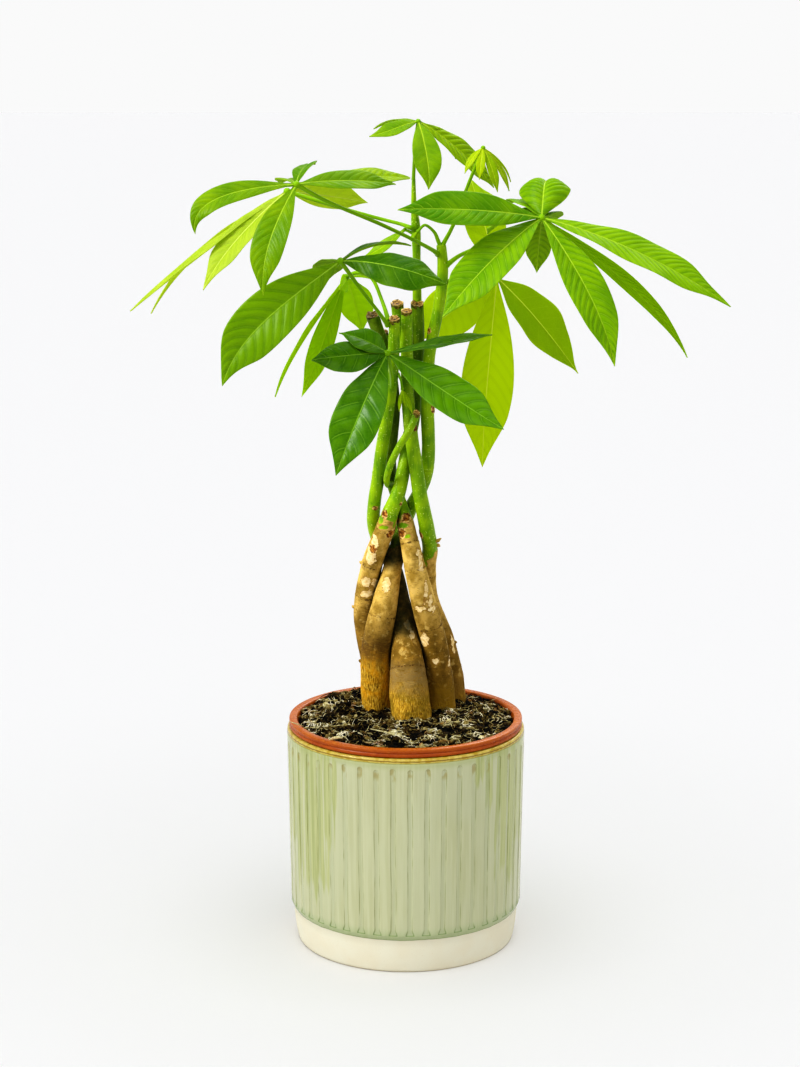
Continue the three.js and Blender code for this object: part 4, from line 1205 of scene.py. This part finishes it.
grow("leaf_bud", seed=50,
     stalk=[(16, 6.6, 361.6, 1), (14, 5.5, 366, 0.8), (9.5, 4, 369.5, 0.7), (6, 3, 366.5, 0.7)],
     root=(17.2, 7.4, 358.4, 1), hub=1,
     deep=(126, 170, 0), bright=(166, 200, 0), vein_tone=(190, 214, 40), glow=(200, 224, 0),
     glow_share=0.3, roughness=0.4, specular=0.14, vein_share=0.3,
     leaflets=[
         blade((-3.5, 1, -5), 3, 0.5, (-0.8, -0.5, 0.3)),
         blade((-0.5, 1.5, -7), 3, 0.5, (0, -0.9, 0.3)),
     ])
grow("leaf_sprout", seed=51,
     stalk=[(-3.4, -2.8, 295, 0.7), (-2.4, -5, 293, 0.6), (-1.8, -6.5, 289, 0.7)],
     hub=0.9,
     deep=(150, 188, 0), bright=(180, 208, 0), vein_tone=(198, 220, 40), glow=(200, 224, 0),
     glow_share=0.3, roughness=0.4, specular=0.14, vein_share=0.2,
     leaflets=[
         blade((-1.5, -3, -11), 2, 1, (-0.3, -0.9, 0.2)),
         blade((5, -2, -12), 2.4, 1, (0.3, -0.9, 0.2)),
         blade((1.5, -4.5, -8), 2, 1, (0, -0.9, 0.3)),
     ])


# ------------------------------------------------------------------ studio
# Not part of the plant: a wide pale floor, a white sky that is brightest low down, the camera,
# and soft far lamps, of which one lights only the leaves and one only the stems and bark.
floor_half = 12
floor_paint = Finish("studio_floor")
grain = floor_paint.bump(floor_paint.noise(3, 2), 0.02)
floor_paint.done(floor_paint.surface(paint(241, 241, 242), 0.7, grain))
floor_mesh = bpy.data.meshes.new("floor")
corners = [(-floor_half, -floor_half, 0), (floor_half, -floor_half, 0),
           (floor_half, floor_half, 0), (-floor_half, floor_half, 0)]
floor_mesh.from_pydata(corners, [], [(0, 1, 2, 3)])
floor_mesh.materials.append(floor_paint.material)
floor = bpy.data.objects.new("floor", floor_mesh)
bpy.context.scene.collection.objects.link(floor)

world = bpy.data.worlds.new("studio")
world.use_nodes = True
sky = world.node_tree
direction = sky.nodes.new("ShaderNodeTexCoord")
split = sky.nodes.new("ShaderNodeSeparateXYZ")
fall = sky.nodes.new("ShaderNodeMapRange")
sky.links.new(direction.outputs["Generated"], split.inputs[0])
sky.links.new(split.outputs["Z"], fall.inputs["Value"])
for socket, value in (("From Min", 0.1), ("From Max", 0.6), ("To Min", 0.67), ("To Max", 0.3)):
    fall.inputs[socket].default_value = value
sky.links.new(fall.outputs["Result"], sky.nodes["Background"].inputs["Strength"])
sky.nodes["Background"].inputs["Color"].default_value = (1, 1, 1, 1)
bpy.context.scene.world = world


on_all, on_leaves, on_stems = (bpy.data.collections.new(name) for name in ("all", "leaves", "stems"))
for shown in bpy.context.scene.objects:
    if shown.type == "MESH" and shown != floor:
        on_all.objects.link(shown)
    if shown.name.startswith("foliage"):
        on_leaves.objects.link(shown)
    if shown.name.startswith(("trunk", "bark")):
        on_stems.objects.link(shown)


def lamp(name, bearing, elevation, spread, power, only=None):
    """A soft far lamp, for all pieces or only some; bearing 0 is behind the camera and 90 to its
    right."""
    data = bpy.data.lights.new(name, "SUN")
    data.angle = math.radians(spread)
    data.energy = power
    light = bpy.data.objects.new(name, data)
    flat = math.cos(math.radians(elevation))
    place = Vector((math.sin(math.radians(bearing)) * flat, -math.cos(math.radians(bearing)) * flat,
                    math.sin(math.radians(elevation))))
    light.rotation_euler = place.to_track_quat("Z", "Y").to_euler()
    light.light_linking.receiver_collection = only
    bpy.context.scene.collection.objects.link(light)


lamp("overhead", 0, 80, 80, 1.35)
lamp("key_left", -62, 38, 26, 1.1, on_all)
lamp("key_leaves", -66, 40, 20, 1.25, on_leaves)
lamp("key_stems", -74, 34, 16, 1.7, on_stems)
lamp("fill_right", 50, 24, 50, 0.2, on_all)
lamp("back_light", 160, 44, 40, 1, on_all)

camera_data = bpy.data.cameras.new("camera")
camera_data.lens = 80
camera_data.sensor_width = 36
camera = bpy.data.objects.new("camera", camera_data)
camera.location = (-0.00294, -1.1774, 0.46609)
camera_tilt = 12.085
camera.rotation_euler = (math.radians(90 - camera_tilt), 0, 0)
bpy.context.scene.collection.objects.link(camera)
bpy.context.scene.camera = camera
bpy.context.scene.view_settings.view_transform = "Standard"
bpy.context.scene.view_settings.look = "High Contrast"
